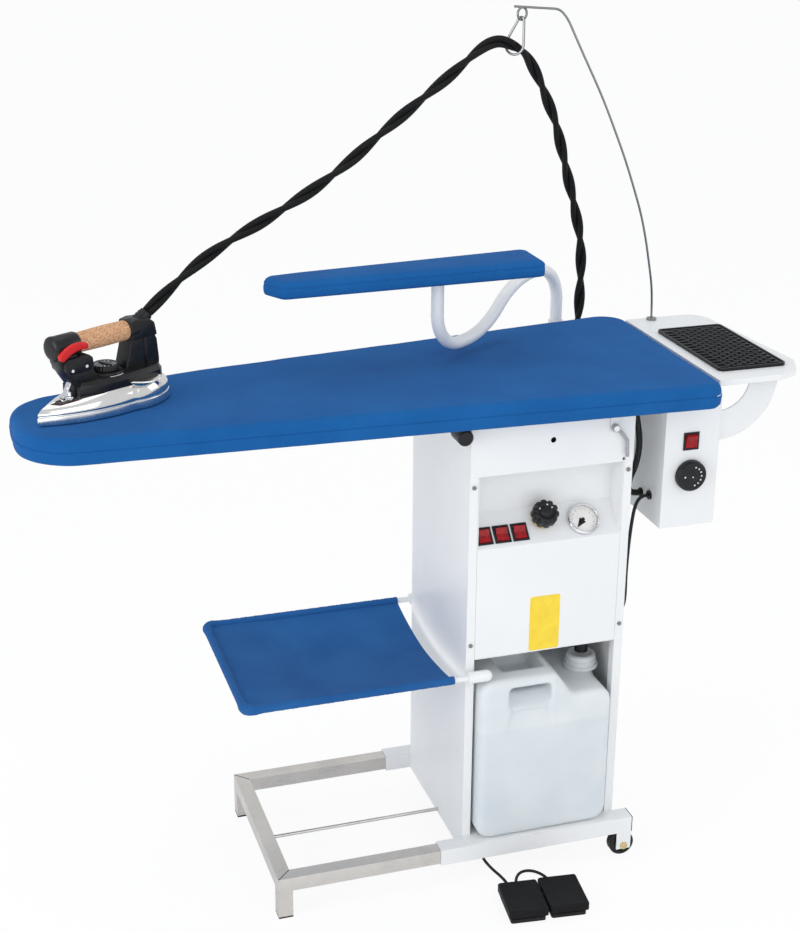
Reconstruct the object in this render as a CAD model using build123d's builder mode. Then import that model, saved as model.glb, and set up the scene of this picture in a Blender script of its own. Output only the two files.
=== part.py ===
from build123d import *
import math
import os

os.makedirs("parts", exist_ok=True)

# Heated vacuum ironing table with a steam generator in its column.
# The origin is on the floor under the middle of the whole table, X runs to the iron tray's end,
# Y to the back and Z up.  Sizes are in millimetres.

# Column of folded sheet
column_left = 51.8
column_front = -117.4
column_width = 285
column_depth = 292
column_foot = 50
column_top = 840
sheet = 1.5
flange = 15
flange_lip = 18
fit_gap = 0.3

# Base bars, castors and pull-out frame
sleeve_size = 30
sleeve_wall = 2
sleeve_left_reach = 48
sleeve_right_reach = 26
cap_plate = 1.5
cap_plug = 8
fork_length = 27
fork_foot = 16
wheel_radius = 23
wheel_width = 18
axle_radius = 4
axle_head_radius = 6.5
axle_head = 3
running_gap = 0.05
slide_gap = 0.5
frame_wall = 1.5
frame_reach = 336
frame_insert = 40
foot_cap = 3
rod_radius = 3
rod_height = 57
rod_from_front = 130
rod_insert = 12
rod_head_radius = 4
rod_head = 3

# Shelves, console and covers
tray_sheet = 1.5
console_foot = 426
console_fold = 625
console_slope = 46
cover_foot = 753.5
cover_hole_radius = 4.75
cover_hole_height = 804.7
cover_hole_off_middle = 1
latch_hole_radius = 3
latch_hole_height = 758.5
latch_hole_from_right = 16.6
screw_radius = 3.5
screw_head = 2
screw_heights = (736, 738, 452.4, 455)

vent_length = 40
vent_height = 4
vent_rows = 6
vent_offset = 35
vent_from_shelf = 60

# Console fittings, along the slope from its fold
bezel_width = 28
bezel_height = 31
bezel_rim = 2
bezel_depth = 20
rocker_first = 31.8
rocker_pitch = 31.6
rocker_rise = 23
rocker_radius = 12
rocker_width = 20
rocker_tilt = 9
knob_across = 0.48632 * column_width
knob_rise = 42
knob_radius = 22.5
knob_height = 24
collar_radius = 11
collar_height = 8
gauge_across = 0.73684 * column_width
gauge_rise = 31
gauge_radius = 28
gauge_rim = 8
gauge_depth = 24
needle_length = 19

# Boiler, valve and pump inside the column
boiler_from_left = 112
boiler_from_back = 107
boiler_radius = 78
boiler_height = 185
boiler_edge_radius = 18
boiler_wall = 4
boiler_port = 5
riser_radius = 9
riser_height = 38
safety_valve_off = 35
valve_depth = 45
feed_pipe_radius = 4
pump_left = 28
pump_right = 14
pump_front = 22
pump_back = 75
pump_foot = 12
pump_height = 50
pump_foot_inset = 6
pipe_drop = 13

# Water canister
can_right_gap = 23
can_front_reach = 25
can_depth = 195
can_inset = 20
can_shoulder = 263
can_height = 306
can_corner = 26
can_edge_radius = 12
can_slope_top = 104
can_slope_foot = 74
can_slope_radii = [14, 16]
grip_from_left = 52
grip_width = 76
grip_bar = 40
grip_hole_depth = 120
grip_bar_height = 16
grip_scoop_rise = 8
grip_scoop_drop = 18
neck_radius = 24
neck_from_right = 21
neck_from_front = 70
collar_wall = 4
collar_height_over = 28
collar_depth = 5
pipe_radius = 12

# Basket
basket_height = 399
basket_rod_radius = 5
basket_stand_off = 12
basket_reach = 380
basket_corner = 25
socket_radius = 10
socket_length = 43
cloth_end = 25
cloth_thickness = 1.4
hem_wall = 1.7
cloth_sag = 20

# Ironing board, seen from above: corners of its outline from the column's front left corner
board_front_right = (418, -57)
board_back_right = (420, 384)
board_back_knee = (-412, 268.5)
board_nose_back = (-701, 191.8)
board_nose_front = (-701, -13.4)
board_radii = [22, 45, 1000, 85, 95]
board_foot = 849.3
board_thickness = 41.7
board_edge_radius = 10
cover_cloth = 1.5
hem_width = 40
pan_sheet = 1.5
pan_depth = 24
element_lanes = 4
element_pitch = 45
element_width = 8
element_from_front = 60
element_left = -480
element_right = 340

# Board pivot, latch and rests
pivot_from_left = 15
pivot_height = 829
ear_radius = 13
hinge_foot_half = 28
shaft_radius = 6
knob_pivot_radius = 13
knob_pivot_length = 38
knob_pivot_front = 19
bracket_sheet = 3
ear_first = 29
ear_from_back = 32
latch_from_right = 38.4
latch_height = 817
latch_wire_radius = 3
latch_stand_off = 9
latch_bends = [(13, -11), (22, -24), (23.5, -52)]
latch_bend_radius = 8
latch_lug_width = 14
buffer_radius = 6
buffer_inset = 60

# Fan under the board
fan_across = 135
fan_deep = 150
fan_radius = 85
fan_depth = 75
fan_wall = 2
impeller_radius = 68
impeller_depth = 40
motor_radius = 34
motor_length = 44
motor_shaft_radius = 4

# Heater control box under the board's right end
box_from_left = 348
box_width = 100
box_from_front = 12
box_depth = 200
box_foot = 617.5
box_clear = 0.3
box_dial_rise = 93.5
box_rocker_over_dial = 60
box_rocker_across = 47.8
box_dial_across = 49
box_dial_radius = 27
box_dial_depth = 14
box_tab = 26
box_tab_inset = 8
grommet_radius = 8
grommet_spots = [(43.4, 662.4), (76, 655)]

# Iron tray and its curved bracket
rest_left = 424
rest_front = -18
rest_back = 349
rest_width_back = 150
rest_width_front = 174
rest_top = 884
rest_sheet = 2
rest_skirt = 10
mat_left = 445
mat_front = 22
mat_width = 125
mat_depth = 240
mat_thickness = 4
arm_plate = 3
arm_inner = 53
arm_band = 52
arm_from_front = 18
arm_drop = 4
rest_shape = [(0, 0), (113, 0), (151, 16)]
rest_side_start = 66
rest_radii = [3, 25, 20, 30, 40, 3]
rest_tab_from_box = 28
rest_tab_width = 50
rest_tab_reach = 70
rest_tab_foot = 20
mat_corner = 9
mat_rib = 4
mat_rib_pitch = 8
mat_rib_rows = 28
mat_rib_height = 1.5
mat_rim = 6

# Hose holder: a sprung wire with a ring and a snap hook
wire_radius = 2
wire_from_front = 336
wire_tip_across = 183.6
wire_foot_across = 470.6
wire_foot_radius = 9
wire_shares = [(468, 0.11073), (450.4, 0.27047), (437, 0.36304), (402.6, 0.53367), (352.7, 0.73516),
               (311.7, 0.87312), (281, 0.98021), (266, 1.01017)]
ring_radius = 10
ring_across = 198
ring_height = 1434.9
ring_turn = 20.8
hook_top_radius = 5
hook_bottom_radius = 16
hook_length = 41.3
hook_lean = 15
hook_turn = 45

# Sleeve board and its bent arm
post_across = 305
post_deep = 392
arm_across = 5.2
arm_deep = 187.2
arm_tube_radius = 10.75
arm_tube_wall = 1.5
arm_foot = 852
arm_apex = 988
arm_bottom = 911
sleeve_board_foot = 1028
sleeve_board_thickness = 32
sleeve_corners = [(186, 158), (186, 256), (-225, 212), (-298, 199), (-285, 138)]
sleeve_radii = [14, 18, 400, 34, 28]
sleeve_upper_edge = 11
sleeve_lower_edge = 4
arm_plate_length = 90
arm_plate_width = 40
arm_plate_sheet = 2
arm_bends = [(139.5, arm_apex), (231, arm_bottom)]
arm_bend_radii = [69, 155, 155, 62]
socket_wall = 3

# Iron, measured along its axis from the tip
iron_tip = (-665.2, 54.1)
iron_turn = 30
iron_length = 240
iron_half_width = 48
sole_thickness = 16
iron_rest_gap = 0.3
skirt_rise = 15
handle_height = 113
handle_radius = 15
cork_start = 76
cork_end = 172
barrel_start = 34
deck_thickness = 20
dial_along = 130
dial_collar_radius = 24
dial_collar_height = 5
iron_dial_radius = 17
iron_dial_height = 11
lever_pivot = (50, 103)
lever_pin_radius = 2
lever_width = 7
boot_length = 19
boot_along = 197.6
boot_rise = 8
sole_arc_start = (46, 0.56)
sole_widest = (150, 0.97)
sole_rear = (205, 0.93)
heel_corner = (8, 0.55)
deck_half = [(72, 17), (150, 31), (212, 29), (218, 20)]
post_width = 28
front_post = [(74, 35), (47, 70), (33, 96), (33, 123), (62, 127), (76, 113), (72, 98), (98, 96), (102, 72),
              (110, 49)]
rear_post = [(154, 35), (172, 96), (172, 127), (184, 128), (212, 124), (222, 97), (226, 39), (220, 35)]
lever_arcs = [(36, 102), (60, 118), (90, 115), (91, 108), (64, 107), (42, 94)]

# Pedals on the floor
pedal_width = 67
pedal_length = 85
pedal_height = 24
pedal_turn = -6.5
pedal_base = 7
pedal_left_centre = (69.5, -120)
pedal_right_centre = (141, -125.5)
pedal_pin_radius = 2
treadle_gap = 5.5
cord_spreads = {pedal_left_centre: (-8, 4), pedal_right_centre: (-6,)}

# Cords
hose_radius = 10
lead_radius = 5.5
supply_radius = 3
pedal_cord_radius = 2.6
supply_gland_deep = 52
supply_gland_z = 450
hose_gland_across = 236
hose_gland_z = 560
hose_gland_length = 12
gland_plate = 5
pedal_gland_across = 109
pedal_gland_deep = 200
pedal_gland_length = 8
grommet_plate = 3
lead_gland_deep = 62
lead_gland_length = 6



def to_ring(share):
    """A height as a share of the way from the iron tray up to the hose holder's ring."""
    return rest_top + share * (ring_height - rest_top)


def between(share):
    """A place across, as a share of the way from the column's cable gland to the box's grommets."""
    start = column_width + gland_plate
    return start + share * (box_from_left - grommet_plate - start)


lead_gland_across = between(0.4)

# Cord routes as points from the column's front left corner: across, deep, height
hose_upper_points = [(-417.4, 174.8, to_ring(0.34725)), (-339.8, 195.1, to_ring(0.4253)),
                     (-254, 217.5, to_ring(0.48775)), (-153.8, 243.6, to_ring(0.57687)),
                     (-61, 267.8, to_ring(0.69377)), (23.4, 291, to_ring(0.79052)),
                     (79, 306, to_ring(0.85587)), (120, 317.5, to_ring(0.90761)),
                     (146, 325, to_ring(0.92394)), (166.5, 330.6, to_ring(0.92031)),
                     (183.8, 335.5, to_ring(0.90543))]
hose_lower_points = [(184.5, 335.7, to_ring(0.90488)), (203, 340.9, to_ring(0.88909)),
                     (224, 350, to_ring(0.84589)), (250, 361.5, to_ring(0.76783)),
                     (283, 374.7, to_ring(0.65348)), (303, 382.5, to_ring(0.53912)),
                     (328, 392.5, to_ring(0.40388)), (353, 402.5, to_ring(0.25558)), (357, 405, 950),
                     (356, 406, 873), (348, 407, 800), (328, 407, 725), (303, 407, 664), (278, 404, 626),
                     (256, 393, 594), (241, 368, 571),
                     (hose_gland_across, column_depth + 44, hose_gland_z),
                     (hose_gland_across, column_depth + hose_gland_length - sheet, hose_gland_z)]
element_lead_points = [(between(0.4), 62, 845.1), (between(0.4), 62, 822), (between(0.4545), 63, 796),
                       (between(0.5273), 65, 768), (between(0.5455), 69, 738), (between(0.5), 74, 711),
                       (between(0.4545), 80, 692), (between(0.4727), 84, 673),
                       (between(0.5909), 87, 661.5), (between(0.7818), 88, 655), (between(1), 88, 655)]
supply_points = [(between(1), 55.4, 662.4), (between(0.8091), 55.4, 662.4), (between(0.6364), 54, 655.5),
                 (between(0.5182), 51, 643), (between(0.4091), 45.5, 622), (between(0.2909), 38, 592),
                 (between(0.2091), 32.5, 558), (between(0.1909), 31.5, 525), (between(0.2364), 35, 496),
                 (between(0.2818), 41, 476), (between(0.3), 46.5, 463.5), (between(0.2545), 50.5, 454.5),
                 (between(0.1364), 52, 450), (between(0), 52, 450)]
pedal_cable_points = [(66.47, -75.87, 4), (68.06, -61.96, 4), (66, -32, 3), (57, 0, 3.2), (53, 32, 3),
                      (58, 68, 3), (70, 106, 3.2), (84, 140, 3.6), (94, 162, 9), (102, 182, 25),
                      (107, 195, 43), (109, 200, 58), (109, 200, 72)]
pedal_link_points = [(78.4, -77.23, 4), (80.21, -61.33, 4), (89, -38, 3.2), (104, -24, 3), (122, -26, 3.2),
                     (136, -41, 3), (141.77, -65.7, 4), (139.96, -81.6, 4)]

column_right = column_left + column_width
column_back = column_front + column_depth
sleeve_mid = column_foot + sleeve_size / 2
sleeve_top = column_foot + sleeve_size
sleeve_left = column_left - sleeve_left_reach
sleeve_right = column_right + sleeve_right_reach
front_bar_y = column_front - sleeve_size / 2
rear_bar_y = column_back + sleeve_size / 2
frame_tube = sleeve_size - 2 * sleeve_wall - 2 * slide_gap
frame_left = column_left - frame_reach
tray_top = sleeve_top + tray_sheet
rod_y = column_front + rod_from_front


def at(across, deep):
    """A place given from the column's front left corner."""
    return column_left + across, column_front + deep


def block(x0, x1, y0, y1, z0, z1, mode=Mode.ADD):
    """A block between its limits."""
    with Locations(((x0 + x1) / 2, (y0 + y1) / 2, (z0 + z1) / 2)):
        Box(abs(x1 - x0), abs(y1 - y0), abs(z1 - z0), mode=mode)


def disc(plane, radius, depth, mode=Mode.ADD):
    """A round bar that starts on a plane and runs along its normal."""
    with BuildSketch(plane) as outline:
        Circle(radius)
    extrude(outline.sketch, amount=depth, mode=mode)


def slab(plane, width, height, depth, mode=Mode.ADD):
    """A square-cornered bar that starts on a plane and runs along its normal."""
    with BuildSketch(plane) as outline:
        Rectangle(width, height)
    extrude(outline.sketch, amount=depth, mode=mode)


def hollow_bar(plane, size, wall, length):
    """A square tube that starts on a plane and runs along its normal."""
    with BuildSketch(plane) as outline:
        Rectangle(size, size)
        Rectangle(size - 2 * wall, size - 2 * wall, mode=Mode.SUBTRACT)
    extrude(outline.sketch, amount=length)


def bend_radii(points):
    """The largest arcs that the runs beside each point allow."""
    places = [Vector(*point) for point in points]
    radii = []
    for before, here, after in zip(places, places[1:], places[2:]):
        first = here - before
        second = after - here
        turn = math.radians(first.get_angle(second))
        radii.append(0.45 * min(first.length, second.length) / math.tan(turn / 2))
    return radii


def cord_tube(name, points, radius):
    """A round tube along a route of straight runs joined by tangent arcs."""
    radii = bend_radii(points)
    print(name, "bend radii", [round(value, 1) for value in radii])
    with BuildPart() as tube:
        with BuildLine() as route:
            FilletPolyline(*points, radius=radii)
        with BuildSketch(Plane(route.wires()[0] ^ 0)):
            Circle(radius)
        sweep(path=route.wires()[0])
    length = route.wires()[0].length
    share = tube.part.volume / (math.pi * radius ** 2 * length)
    print(name, "length", round(length, 1), "volume against section times length", round(share, 4))
    return tube.part


def route(points):
    """A cord's points in the table's frame."""
    return [(column_left + across, column_front + deep, height) for across, deep, height in points]


# Base

castor_x = sleeve_right - fork_length / 2
with BuildPart() as base_frame:
    for bar_y in (front_bar_y, rear_bar_y):
        start = Plane((sleeve_left, bar_y, sleeve_mid), x_dir=(0, 1, 0), z_dir=(1, 0, 0))
        hollow_bar(start, sleeve_size, sleeve_wall, sleeve_right - sleeve_left)
    for member_x in (column_left + sheet + sleeve_size / 2, column_right - sheet - sleeve_size / 2):
        start = Plane((member_x, column_front, sleeve_mid), x_dir=(1, 0, 0), z_dir=(0, 1, 0))
        hollow_bar(start, sleeve_size, sleeve_wall, column_depth)
    rod_way = Plane((column_left + sheet, rod_y, rod_height), z_dir=(1, 0, 0))
    disc(rod_way, rod_radius + slide_gap, sleeve_size / 2, mode=Mode.SUBTRACT)
    disc(rod_way.offset(sleeve_size / 2), rod_head_radius + slide_gap, sleeve_size, mode=Mode.SUBTRACT)
    for bar_y in (front_bar_y, rear_bar_y):
        for side in (-1, 1):
            outer_y = bar_y + side * sleeve_size / 2
            block(sleeve_right - fork_length, sleeve_right, outer_y - side * sleeve_wall, outer_y,
                  fork_foot, column_foot)
        axle_way = Plane((castor_x, bar_y - sleeve_size, wheel_radius), z_dir=(0, 1, 0))
        disc(axle_way, axle_radius, 2 * sleeve_size, mode=Mode.SUBTRACT)
base_frame.part.label = "base_frame"
export_step(base_frame.part, "parts/base_frame.step")


def castor_wheel(bar_y):
    """A solid wheel with rounded tread edges and a shallow dish on each side."""
    with BuildPart() as wheel:
        side = Plane((castor_x, bar_y - wheel_width / 2, wheel_radius), z_dir=(0, 1, 0))
        disc(side, wheel_radius, wheel_width)
        fillet(wheel.edges(), 3)
        dish = wheel_radius - 7
        disc(side, dish, 2, mode=Mode.SUBTRACT)
        disc(side.offset(wheel_width - 2), dish, 2, mode=Mode.SUBTRACT)
        disc(side, axle_head_radius, wheel_width)
        disc(side, axle_radius + running_gap, wheel_width, mode=Mode.SUBTRACT)
    return wheel.part


castor_wheel_front = castor_wheel(front_bar_y)
castor_wheel_front.label = "castor_wheel_front"
export_step(castor_wheel_front, "parts/castor_wheel_front.step")
castor_wheel_rear = castor_wheel(rear_bar_y)
castor_wheel_rear.label = "castor_wheel_rear"
export_step(castor_wheel_rear, "parts/castor_wheel_rear.step")

# Pull-out frame: one U of square tube on two legs, with a guide rod between the bars

frame_end = column_left + frame_insert
with BuildPart() as extension_frame:
    for bar_y in (front_bar_y, rear_bar_y):
        start = Plane((frame_left, bar_y, sleeve_mid), x_dir=(0, 1, 0), z_dir=(1, 0, 0))
        slab(start, frame_tube, frame_tube, frame_end - frame_left)
        leg = Plane((frame_left + frame_tube / 2, bar_y, foot_cap))
        slab(leg, frame_tube, frame_tube, sleeve_mid - foot_cap)
    side = Plane((frame_left + frame_tube / 2, front_bar_y, sleeve_mid), x_dir=(1, 0, 0), z_dir=(0, 1, 0))
    slab(side, frame_tube, frame_tube, rear_bar_y - front_bar_y)
    bore = frame_tube - 2 * frame_wall
    for bar_y in (front_bar_y, rear_bar_y):
        start = Plane((frame_left + frame_wall, bar_y, sleeve_mid), x_dir=(0, 1, 0), z_dir=(1, 0, 0))
        slab(start, bore, bore, frame_end - frame_left, mode=Mode.SUBTRACT)
        leg = Plane((frame_left + frame_tube / 2, bar_y, foot_cap))
        slab(leg, bore, bore, sleeve_mid - foot_cap, mode=Mode.SUBTRACT)
    slab(side, bore, bore, rear_bar_y - front_bar_y, mode=Mode.SUBTRACT)
    rod_start = Plane((frame_left + frame_tube, rod_y, rod_height), z_dir=(1, 0, 0))
    rod_length = column_left + rod_insert - frame_left - frame_tube
    disc(rod_start, rod_radius, rod_length)
    disc(rod_start.offset(rod_length - rod_head), rod_head_radius, rod_head)
extension_frame.part.label = "extension_frame"
export_step(extension_frame.part, "parts/extension_frame.step")

with BuildPart() as foot_caps:
    for bar_y in (front_bar_y, rear_bar_y):
        floor = Plane((frame_left + frame_tube / 2, bar_y, 0))
        slab(floor, frame_tube, frame_tube, foot_cap)
        plug_size = frame_tube - 2 * frame_wall - 2 * fit_gap
        slab(floor, plug_size, plug_size, foot_cap + cap_plug)
foot_caps.part.label = "foot_caps"
export_step(foot_caps.part, "parts/foot_caps.step")

# Column

socket_z = basket_height
basket_front_y = column_front - basket_stand_off
basket_rear_y = column_back + basket_stand_off


def side_panel(outer_x, inward):
    """Side sheet with front, rear and top flanges folded towards the column's middle."""
    flange_x = outer_x + inward * flange
    block(outer_x, outer_x + inward * sheet, column_front, column_back, column_foot, column_top)
    block(outer_x, flange_x, column_front, column_front + sheet, tray_top, column_top)
    block(flange_x - inward * sheet, flange_x, column_front, column_front + flange_lip,
          tray_top, column_top)
    block(outer_x, flange_x, column_back - sheet, column_back, sleeve_top, column_top)
    block(outer_x, flange_x, column_front, column_back, column_top - sheet, column_top)


def basket_socket(rod_line_y, face_y):
    """Round-ended socket beside the column, on a small weld block."""
    mouth = Plane((column_left, rod_line_y, socket_z), z_dir=(1, 0, 0))
    disc(mouth, socket_radius, socket_length - socket_radius)
    with Locations((column_left + socket_length - socket_radius, rod_line_y, socket_z)):
        Sphere(socket_radius)
    block(column_left + sheet, column_left + flange - sheet, rod_line_y, face_y,
          socket_z - socket_radius / 2, socket_z + socket_radius / 2)
    disc(mouth, basket_rod_radius + running_gap, socket_length - socket_radius / 2, mode=Mode.SUBTRACT)


pivot_x = column_left - pivot_from_left
ears_y = (column_front + ear_first, column_back - ear_from_back)
with BuildPart() as left_side_panel:
    side_panel(column_left, 1)
    basket_socket(basket_front_y, column_front)
    basket_socket(basket_rear_y, column_back)
    for ear_y in ears_y:
        with BuildSketch(Plane((pivot_x, ear_y, pivot_height), x_dir=(1, 0, 0), z_dir=(0, 1, 0))) as ear:
            Circle(ear_radius)
            with Locations((pivot_from_left / 2, 0)):
                Rectangle(pivot_from_left, 2 * ear_radius)
            Circle(shaft_radius + running_gap, mode=Mode.SUBTRACT)
        extrude(ear.sketch, amount=bracket_sheet)
    rod_way = Plane((column_left - 1, rod_y, rod_height), z_dir=(1, 0, 0))
    disc(rod_way, rod_radius + slide_gap, sheet + 2, mode=Mode.SUBTRACT)
left_side_panel.part.label = "left_side_panel"
export_step(left_side_panel.part, "parts/left_side_panel.step")

supply_gland_y = column_front + supply_gland_deep
with BuildPart() as right_side_panel:
    side_panel(column_right, -1)
    gland_way = Plane((column_right - sheet - 1, supply_gland_y, supply_gland_z), z_dir=(1, 0, 0))
    disc(gland_way, supply_radius + 3, sheet + 2, mode=Mode.SUBTRACT)
right_side_panel.part.label = "right_side_panel"
export_step(right_side_panel.part, "parts/right_side_panel.step")

inner_left = column_left + sheet + fit_gap
inner_right = column_right - sheet - fit_gap
back_sheet_y = column_back - 2 * sheet
hose_gland_x = column_left + hose_gland_across
with BuildPart() as back_panel:
    block(inner_left, inner_right, back_sheet_y, back_sheet_y + sheet, tray_top, column_top - 2 * sheet)
    hose_way = Plane((hose_gland_x, back_sheet_y - 1, hose_gland_z), z_dir=(0, 1, 0))
    disc(hose_way, hose_radius + 3, sheet + 2, mode=Mode.SUBTRACT)
    for across in (-vent_offset, vent_offset):
        for step in range(vent_rows):
            vent_x = column_left + column_width / 2 + across
            vent_z = console_foot + vent_from_shelf + step * 4 * vent_height
            block(vent_x - vent_length / 2, vent_x + vent_length / 2, back_sheet_y - 1,
                  back_sheet_y + sheet + 1, vent_z, vent_z + vent_height, mode=Mode.SUBTRACT)
back_panel.part.label = "back_panel"
export_step(back_panel.part, "parts/back_panel.step")

can_left = column_left + can_inset
can_width = column_width - can_inset - can_right_gap
can_front = column_front - can_front_reach
can_foot = tray_top + fit_gap
neck_x = can_left + can_width - neck_from_right
neck_y = column_front + neck_from_front
lip_left = column_left + flange + fit_gap
lip_right = column_right - flange - fit_gap
with BuildPart() as shelves:
    block(inner_left, inner_right, column_front - sleeve_size, back_sheet_y, sleeve_top, tray_top)
    block(inner_left, inner_right, column_front + flange_lip + fit_gap, back_sheet_y,
          console_foot - tray_sheet, console_foot)
    block(lip_left, lip_right, column_front, column_front + flange_lip + fit_gap,
          console_foot - tray_sheet, console_foot)
    pipe_way = Plane((neck_x, neck_y, console_foot - 2 * tray_sheet))
    disc(pipe_way, pipe_radius + slide_gap, 3 * tray_sheet, mode=Mode.SUBTRACT)
shelves.part.label = "shelves"
export_step(shelves.part, "parts/shelves.step")

with BuildPart() as upper_cover:
    block(column_left, column_right, column_front - sheet, column_front, cover_foot, column_top)
    block(lip_left, lip_right, column_front - sheet, column_front + console_slope,
          cover_foot, cover_foot + sheet)
    block(lip_left, lip_right, column_front - sheet, column_front + 2 * flange,
          column_top - sheet, column_top)
    hole_face = Plane((column_left, column_front, 0), x_dir=(1, 0, 0), z_dir=(0, -1, 0))
    with BuildSketch(hole_face.offset(-1)) as holes:
        with Locations((column_width / 2 - cover_hole_off_middle, cover_hole_height)):
            Circle(cover_hole_radius)
        with Locations((column_width - latch_hole_from_right, latch_hole_height)):
            Circle(latch_hole_radius)
    extrude(holes.sketch, amount=sheet + 2, mode=Mode.SUBTRACT)
upper_cover.part.label = "upper_cover"
export_step(upper_cover.part, "parts/upper_cover.step")

# The console's sloping face: X runs across, Y up the slope, from its fold at the column's left face
half_root = math.sqrt(0.5)
slope = Plane((column_left, column_front, console_fold), x_dir=(1, 0, 0), z_dir=(0, -half_root, half_root))
rocker_places = [(rocker_first + step * rocker_pitch, rocker_rise) for step in range(3)]


def on_slope(across, rise, proud=0):
    """A plane on the sloping face, some way proud of it."""
    spot = slope.origin + slope.x_dir * across + slope.y_dir * rise + slope.z_dir * proud
    return Plane(spot, x_dir=slope.x_dir, z_dir=slope.z_dir)


console_top = cover_foot - fit_gap
slope_top = console_fold + console_slope
bend_drop = sheet * (math.sqrt(2) - 1)
with BuildPart() as control_panel:
    with BuildSketch(Plane.YZ.offset(lip_left)) as profile:
        with BuildLine():
            Polyline((column_front, console_foot), (column_front, console_fold),
                     (column_front + console_slope, slope_top), (column_front + console_slope, console_top),
                     (column_front + console_slope + sheet, console_top),
                     (column_front + console_slope + sheet, slope_top - bend_drop),
                     (column_front + sheet, console_fold - bend_drop),
                     (column_front + sheet, console_foot), close=True)
        make_face()
    extrude(profile.sketch, amount=lip_right - lip_left)
    for cheek_x in (lip_left, lip_right - sheet):
        with BuildSketch(Plane.YZ.offset(cheek_x)) as cheek:
            with BuildLine():
                Polyline((column_front, console_fold), (column_front + console_slope, slope_top),
                         (column_front + console_slope, console_top), (column_front, console_top),
                         close=True)
            make_face()
        extrude(cheek.sketch, amount=sheet)
    for across, rise in rocker_places:
        slab(on_slope(across, rise, 1), bezel_width - 5, bezel_height - 4, -4 * sheet, mode=Mode.SUBTRACT)
    disc(on_slope(knob_across, knob_rise, 1), collar_radius - 3, -4 * sheet, mode=Mode.SUBTRACT)
    disc(on_slope(gauge_across, gauge_rise, 1), gauge_radius - 3, -4 * sheet, mode=Mode.SUBTRACT)
control_panel.part.label = "control_panel"
export_step(control_panel.part, "parts/control_panel.step")

screw_columns = (flange / 2, column_width - flange / 2, flange / 2, column_width - flange / 2)
screw_spots = list(zip(screw_columns, screw_heights))
with BuildPart() as fasteners:
    with BuildSketch(hole_face) as heads:
        with Locations(*screw_spots):
            Circle(screw_radius)
    extrude(heads.sketch, amount=screw_head)
    for bar_y in (front_bar_y, rear_bar_y):
        axle_start = Plane((castor_x, bar_y - sleeve_size / 2, wheel_radius), z_dir=(0, 1, 0))
        disc(axle_start, axle_radius, sleeve_size)
        disc(axle_start.offset(-axle_head), axle_head_radius, axle_head)
        disc(axle_start.offset(sleeve_size), axle_head_radius, axle_head)
fasteners.part.label = "fasteners"
export_step(fasteners.part, "parts/fasteners.step")


def rocker_bezel(face):
    """Snap-in switch case with a rim, open at the front for its rocker."""
    slab(face, bezel_width, bezel_height, bezel_rim)
    slab(face, bezel_width - 6, bezel_height - 5, -bezel_depth)
    slab(face.offset(bezel_rim), rocker_width + 2 * fit_gap, 2 * rocker_radius + 1,
         -bezel_rim - bezel_depth + 3, mode=Mode.SUBTRACT)


def rocker(face, turn):
    """Rocker with two shallow facets, turned about its pin to its off side."""
    middle = face.offset(-1)
    spot = Plane(middle.origin, x_dir=middle.y_dir, z_dir=middle.x_dir)
    with BuildPart() as body:
        with BuildSketch(spot.offset(-rocker_width / 2)) as profile:
            Circle(rocker_radius)
            facet_rise = rocker_radius * math.tan(math.radians(rocker_tilt))
            with BuildLine():
                Polyline((-rocker_radius, 4 + facet_rise), (0, 4), (rocker_radius, 4 + facet_rise),
                         (rocker_radius, 2 * rocker_radius), (-rocker_radius, 2 * rocker_radius),
                         close=True)
            make_face(mode=Mode.SUBTRACT)
        extrude(profile.sketch, amount=rocker_width)
    pin = Axis(middle.origin, middle.x_dir)
    return body.part.rotate(pin, turn)


with BuildPart() as rocker_bezels:
    for across, rise in rocker_places:
        rocker_bezel(on_slope(across, rise))
rocker_bezels.part.label = "rocker_bezels"
export_step(rocker_bezels.part, "parts/rocker_bezels.step")

rocker_left = rocker(on_slope(*rocker_places[0]), rocker_tilt)
rocker_left.label = "rocker_left"
export_step(rocker_left, "parts/rocker_left.step")
rocker_middle = rocker(on_slope(*rocker_places[1]), rocker_tilt)
rocker_middle.label = "rocker_middle"
export_step(rocker_middle, "parts/rocker_middle.step")
rocker_right = rocker(on_slope(*rocker_places[2]), rocker_tilt)
rocker_right.label = "rocker_right"
export_step(rocker_right, "parts/rocker_right.step")

with BuildPart() as steam_knob:
    knob_face = on_slope(knob_across, knob_rise, collar_height + fit_gap)
    with BuildSketch(knob_face) as lobes:
        Circle(knob_radius - 2)
        with PolarLocations(knob_radius - 4, 8):
            Circle(4)
    extrude(lobes.sketch, amount=knob_height)
    fillet(steam_knob.faces().sort_by(Axis(slope.origin, slope.z_dir))[-1].edges(), 1)
    disc(knob_face.offset(knob_height), knob_radius / 2, 2)
steam_knob.part.label = "steam_knob"
export_step(steam_knob.part, "parts/steam_knob.step")

with BuildPart() as gauge_case:
    gauge_face = on_slope(gauge_across, gauge_rise)
    disc(gauge_face, gauge_radius, gauge_rim)
    fillet(gauge_case.faces().sort_by(Axis(slope.origin, slope.z_dir))[-1].edges(), 3)
    disc(gauge_face, gauge_radius - 4, -gauge_depth)
    disc(gauge_face.offset(1), gauge_radius - 4, gauge_rim, mode=Mode.SUBTRACT)
    disc(gauge_face.offset(-gauge_depth - 10), 5, 10)
gauge_case.part.label = "gauge_case"
export_step(gauge_case.part, "parts/gauge_case.step")

with BuildPart() as gauge_needle:
    needle_face = gauge_face.offset(1 + fit_gap)
    disc(needle_face, 3, 1.5)
    with BuildSketch(needle_face) as pointer:
        with BuildLine():
            Polyline((-5, 4), (-needle_length * half_root, -needle_length * half_root), (4, -5), close=True)
        make_face()
    extrude(pointer.sketch, amount=0.8)
gauge_needle.part.label = "gauge_needle"
export_step(gauge_needle.part, "parts/gauge_needle.step")

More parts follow.
